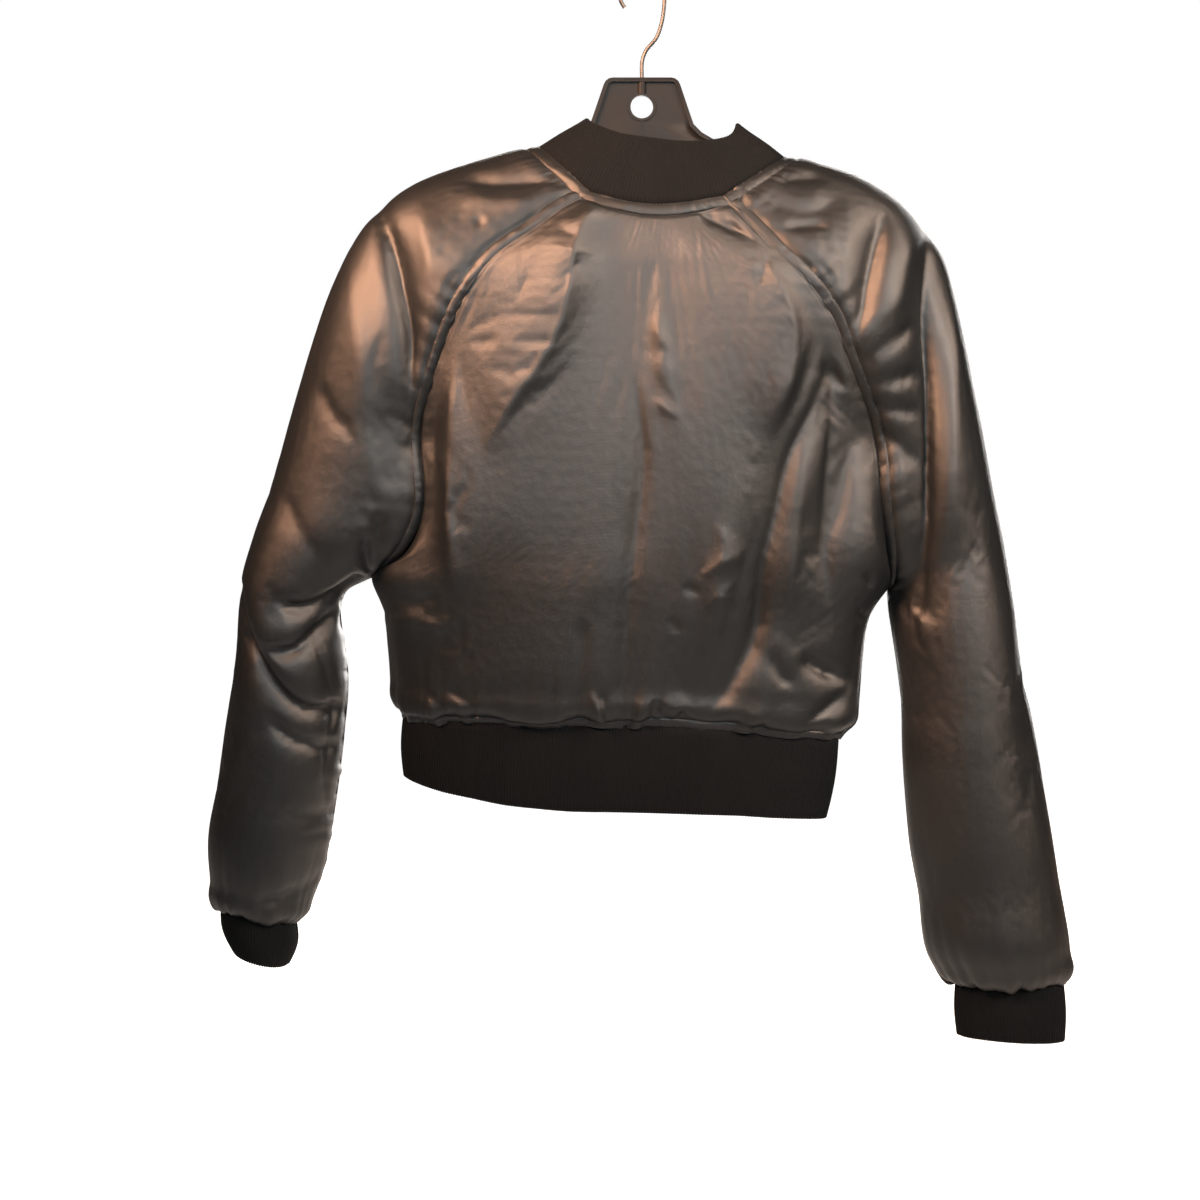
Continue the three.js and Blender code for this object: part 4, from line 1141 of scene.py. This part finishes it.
def between(tree, mask, low, high):
    node = tree.nodes.new("ShaderNodeMapRange")
    node.inputs["From Min"].default_value = 0.3
    node.inputs["From Max"].default_value = 0.7
    node.inputs["To Min"].default_value = low
    node.inputs["To Max"].default_value = high
    tree.links.new(mask, node.inputs["Value"])
    return node.outputs[0]


def bump(tree, height, strength, distance, normal=None):
    node = tree.nodes.new("ShaderNodeBump")
    node.inputs["Strength"].default_value = strength
    node.inputs["Distance"].default_value = distance
    tree.links.new(height, node.inputs["Height"])
    if normal is not None:
        tree.links.new(normal, node.inputs["Normal"])
    return node.outputs["Normal"]


def clothMaterial(name, dark, light, rough, pitch, slope, threadDepth, crumple, **fixed):
    made, tree, shader = newMaterial(name, **fixed)
    threads = placeGroup(tree, weave, Pitch=pitch, Slope=slope)
    worn = placeGroup(tree, handling, Scale=16.0)
    mask = calc(tree, "MULTIPLY_ADD", threads["Slub"], 0.5, calc(tree, "MULTIPLY", worn["Mask"], 0.5))
    tree.links.new(blendColour(tree, between(tree, mask, 0, 1), dark, light), shader.inputs["Base Color"])
    tree.links.new(between(tree, mask, *rough), shader.inputs["Roughness"])
    normal = bump(tree, threads["Height"], 0.5, threadDepth)
    if crumple:
        normal = bump(tree, noiseAt(tree, objectPlace(tree), 130.0, 4), 0.5, crumple, normal)
    tree.links.new(normal, shader.inputs["Normal"])
    return made


satin = clothMaterial(
    "charcoal satin",
    dark=(0.0036, 0.0048, 0.0054),
    light=(0.0054, 0.0072, 0.0082),
    rough=(0.39, 0.47),
    pitch=0.0005,
    slope=0.2,
    threadDepth=0.00004,
    crumple=0.0006,
    Specular_IOR_Level=0.64,
)
thread = clothMaterial(
    "sewing thread",
    dark=(0.012, 0.0115, 0.011),
    light=(0.02, 0.019, 0.018),
    rough=(0.5, 0.65),
    pitch=0.0004,
    slope=1.0,
    threadDepth=0.00005,
    crumple=0,
)
tapeCloth = clothMaterial(
    "woven zip tape",
    dark=(0.011, 0.011, 0.011),
    light=(0.019, 0.019, 0.019),
    rough=(0.7, 0.85),
    pitch=0.0007,
    slope=0.5,
    threadDepth=0.0001,
    crumple=0,
)

knitLook = dict(
    dark=(0.0011, 0.0019, 0.0025),
    light=(0.0022, 0.0036, 0.0046),
    rough=(0.7, 0.85),
    loop=0.0013,
    loopDepth=0.00018,
)


def knitMaterial():
    sheen = dict(Sheen_Weight=0.015, Sheen_Roughness=0.5, Sheen_Tint=(0.85, 0.95, 1, 1))
    made, tree, shader = newMaterial("black rib knit", Specular_IOR_Level=0.13, **sheen)
    x, y = clothPlace(tree)
    column = calc(tree, "PINGPONG", calc(tree, "DIVIDE", x, rib["pitch"] * mm), 0.5)
    slant = calc(tree, "MULTIPLY_ADD", column, 1.1, calc(tree, "DIVIDE", y, knitLook["loop"]))
    loops = calc(tree, "SINE", calc(tree, "MULTIPLY", slant, math.tau))
    fuzz = noiseAt(tree, objectPlace(tree), 900.0, 3)
    height = calc(tree, "MULTIPLY_ADD", fuzz, 0.9, loops)
    tree.links.new(bump(tree, height, 0.6, knitLook["loopDepth"]), shader.inputs["Normal"])
    worn = placeGroup(tree, handling, Scale=24.0)
    mask = calc(tree, "MULTIPLY_ADD", fuzz, 0.5, calc(tree, "MULTIPLY", worn["Mask"], 0.5))
    colour = blendColour(tree, between(tree, mask, 0, 1), knitLook["dark"], knitLook["light"])
    tree.links.new(colour, shader.inputs["Base Color"])
    tree.links.new(between(tree, worn["Mask"], *knitLook["rough"]), shader.inputs["Roughness"])
    return made


def hardMaterial(name, dark, light, rough, grain, scale, **fixed):
    made, tree, shader = newMaterial(name, **fixed)
    worn = placeGroup(tree, handling, Scale=scale)
    colour = blendColour(tree, between(tree, worn["Mask"], 0, 1), dark, light)
    tree.links.new(colour, shader.inputs["Base Color"])
    tree.links.new(between(tree, worn["Mask"], *rough), shader.inputs["Roughness"])
    tree.links.new(bump(tree, worn["Speck"], 0.4, grain), shader.inputs["Normal"])
    return made


knit = knitMaterial()
gunmetal = hardMaterial(
    "dark gunmetal",
    dark=(0.07, 0.068, 0.066),
    light=(0.12, 0.117, 0.112),
    rough=(0.25, 0.42),
    grain=0.00002,
    scale=160.0,
    Metallic=1,
)
plastic = hardMaterial(
    "moulded black plastic",
    dark=(0.0095, 0.0092, 0.0088),
    light=(0.0142, 0.0136, 0.013),
    rough=(0.42, 0.54),
    grain=0.00004,
    scale=40.0,
    Specular_IOR_Level=0.16,
)
zinc = hardMaterial(
    "dull zinc wire",
    dark=(0.085, 0.082, 0.078),
    light=(0.13, 0.126, 0.12),
    rough=(0.42, 0.55),
    grain=0.00002,
    scale=120.0,
    Metallic=1,
)


def paint(obj, *materials):
    obj.data.materials.clear()
    for material in materials:
        obj.data.materials.append(material)


def paintNode(node, material):
    for place in nodes[node].material_slots:
        place.material = material


for piece in shellPieces.values():
    paint(piece, satin)
for piece in bandPieces.values():
    paint(piece, satin, thread)
for piece in ribPieces.values():
    paint(piece, knit)
for piece in tapes:
    paint(piece, tapeCloth)
paint(teeth, gunmetal)
paintNode("zip_slider", gunmetal)
paintNode("zip_pull", gunmetal)
paintNode("hanger_body", plastic)
paintNode("hanger_hook", zinc)

print("sheets")
bandOf = dict(
    back_panel=["neck", "hem"],
    sleeve_left=["front_left", "back_left"],
    sleeve_right=["back_right", "front_right"],
)
for name, piece in {**shellPieces, **ribPieces}.items():
    sheetSizes[name]["flat"]
    sheetSizes[name]["area"]
    [bandPieces[key] for key in bandOf.get(name, [])]

view = dict(target=(31.5, 0, -472.3), elevation=5, distance=1600, lens=62.4, sensor=36)


def makeCamera():
    tilt = math.radians(view["elevation"])
    target = Vector(view["target"]) * mm
    back = Vector((0, math.cos(tilt), math.sin(tilt)))
    data = bpy.data.cameras.new("camera")
    data.sensor_width = view["sensor"]
    data.lens = view["lens"]
    camera = bpy.data.objects.new("camera", data)
    camera.location = target + back * view["distance"] * mm
    camera.rotation_mode = "QUATERNION"
    camera.rotation_quaternion = (-back).to_track_quat("-Z", "Y")
    bpy.context.scene.collection.objects.link(camera)
    bpy.context.scene.camera = camera


# sizes and places in metres, power in watts
lights = table(
    "name size power spread colour place target",
    [
        ("warm key", (1.0, 0.42), 10.2, 38, (1, 0.52, 0.31), (1.2, 1.0, 0.65), (0.08, 0, -0.1)),
        ("right fill", (0.7, 1.8), 11, 50, (1, 0.74, 0.58), (-1.25, 1.05, 0.8), (-0.2, 0, -0.1)),
        ("cool fill", (1.6, 0.8), 3.7, 50, (0.86, 0.97, 1), (-0.2, 1.95, 0.3), (0, 0, -0.15)),
        ("front key", (1.8, 1.8), 34, 100, (1, 0.96, 0.92), (-0.5, -2.2, 0), (0, 0, -0.4)),
    ],
)


def makeLight(name, size, power, spread, colour, place, target):
    data = bpy.data.lights.new(name, "AREA")
    data.shape = "RECTANGLE"
    data.size, data.size_y = size
    data.energy = power
    data.spread = math.radians(spread)
    data.color = colour
    light = bpy.data.objects.new(name, data)
    light.location = place
    light.rotation_mode = "QUATERNION"
    light.rotation_quaternion = (Vector(target) - Vector(place)).to_track_quat("-Z", "Y")
    bpy.context.scene.collection.objects.link(light)


# how strongly the room lights the cloth and how bright it is seen directly, and the floor's size in metres
room = dict(lit=0.03, seen=1.0, floorHeight=-1.05, floorRadius=9)


def makeWorld(strength, background):
    world = bpy.data.worlds.new("world")
    bpy.context.scene.world = world
    world.use_nodes = True
    tree = world.node_tree
    back = tree.nodes["Background"]
    back.inputs["Color"].default_value = (1, 1, 1, 1)
    direct = tree.nodes.new("ShaderNodeLightPath").outputs["Is Camera Ray"]
    level = calc(tree, "MULTIPLY_ADD", direct, background - strength, strength)
    tree.links.new(level, back.inputs["Strength"])


def makeFloor(height, radius):
    shape = bmesh.new()
    bmesh.ops.create_circle(shape, cap_ends=True, segments=96, radius=radius)
    mesh = bpy.data.meshes.new("floor")
    shape.to_mesh(mesh)
    shape.free()
    floor = bpy.data.objects.new("floor", mesh)
    floor.location.z = height
    bpy.context.scene.collection.objects.link(floor)
    near, distant = (0.8, 0.8, 0.79), (1, 1, 1)
    made, tree, shader = newMaterial("pale floor", Base_Color=(*near, 1), Roughness=0.9)
    place = objectPlace(tree)
    far = tree.nodes.new("ShaderNodeVectorMath")
    far.operation = "LENGTH"
    tree.links.new(place, far.inputs[0])
    away = between(tree, calc(tree, "DIVIDE", far.outputs["Value"], 0.4 * radius), 0, 1)
    tree.links.new(blendColour(tree, away, near, distant), shader.inputs["Emission Color"])
    direct = tree.nodes.new("ShaderNodeLightPath").outputs["Is Camera Ray"]
    tree.links.new(direct, shader.inputs["Emission Strength"])
    paint(floor, made)


print("camera, light and floor")
makeCamera()
for row in lights:
    makeLight(**row)
makeWorld(room["lit"], room["seen"])
makeFloor(room["floorHeight"], room["floorRadius"])
bpy.context.scene.view_settings.view_transform = "Standard"
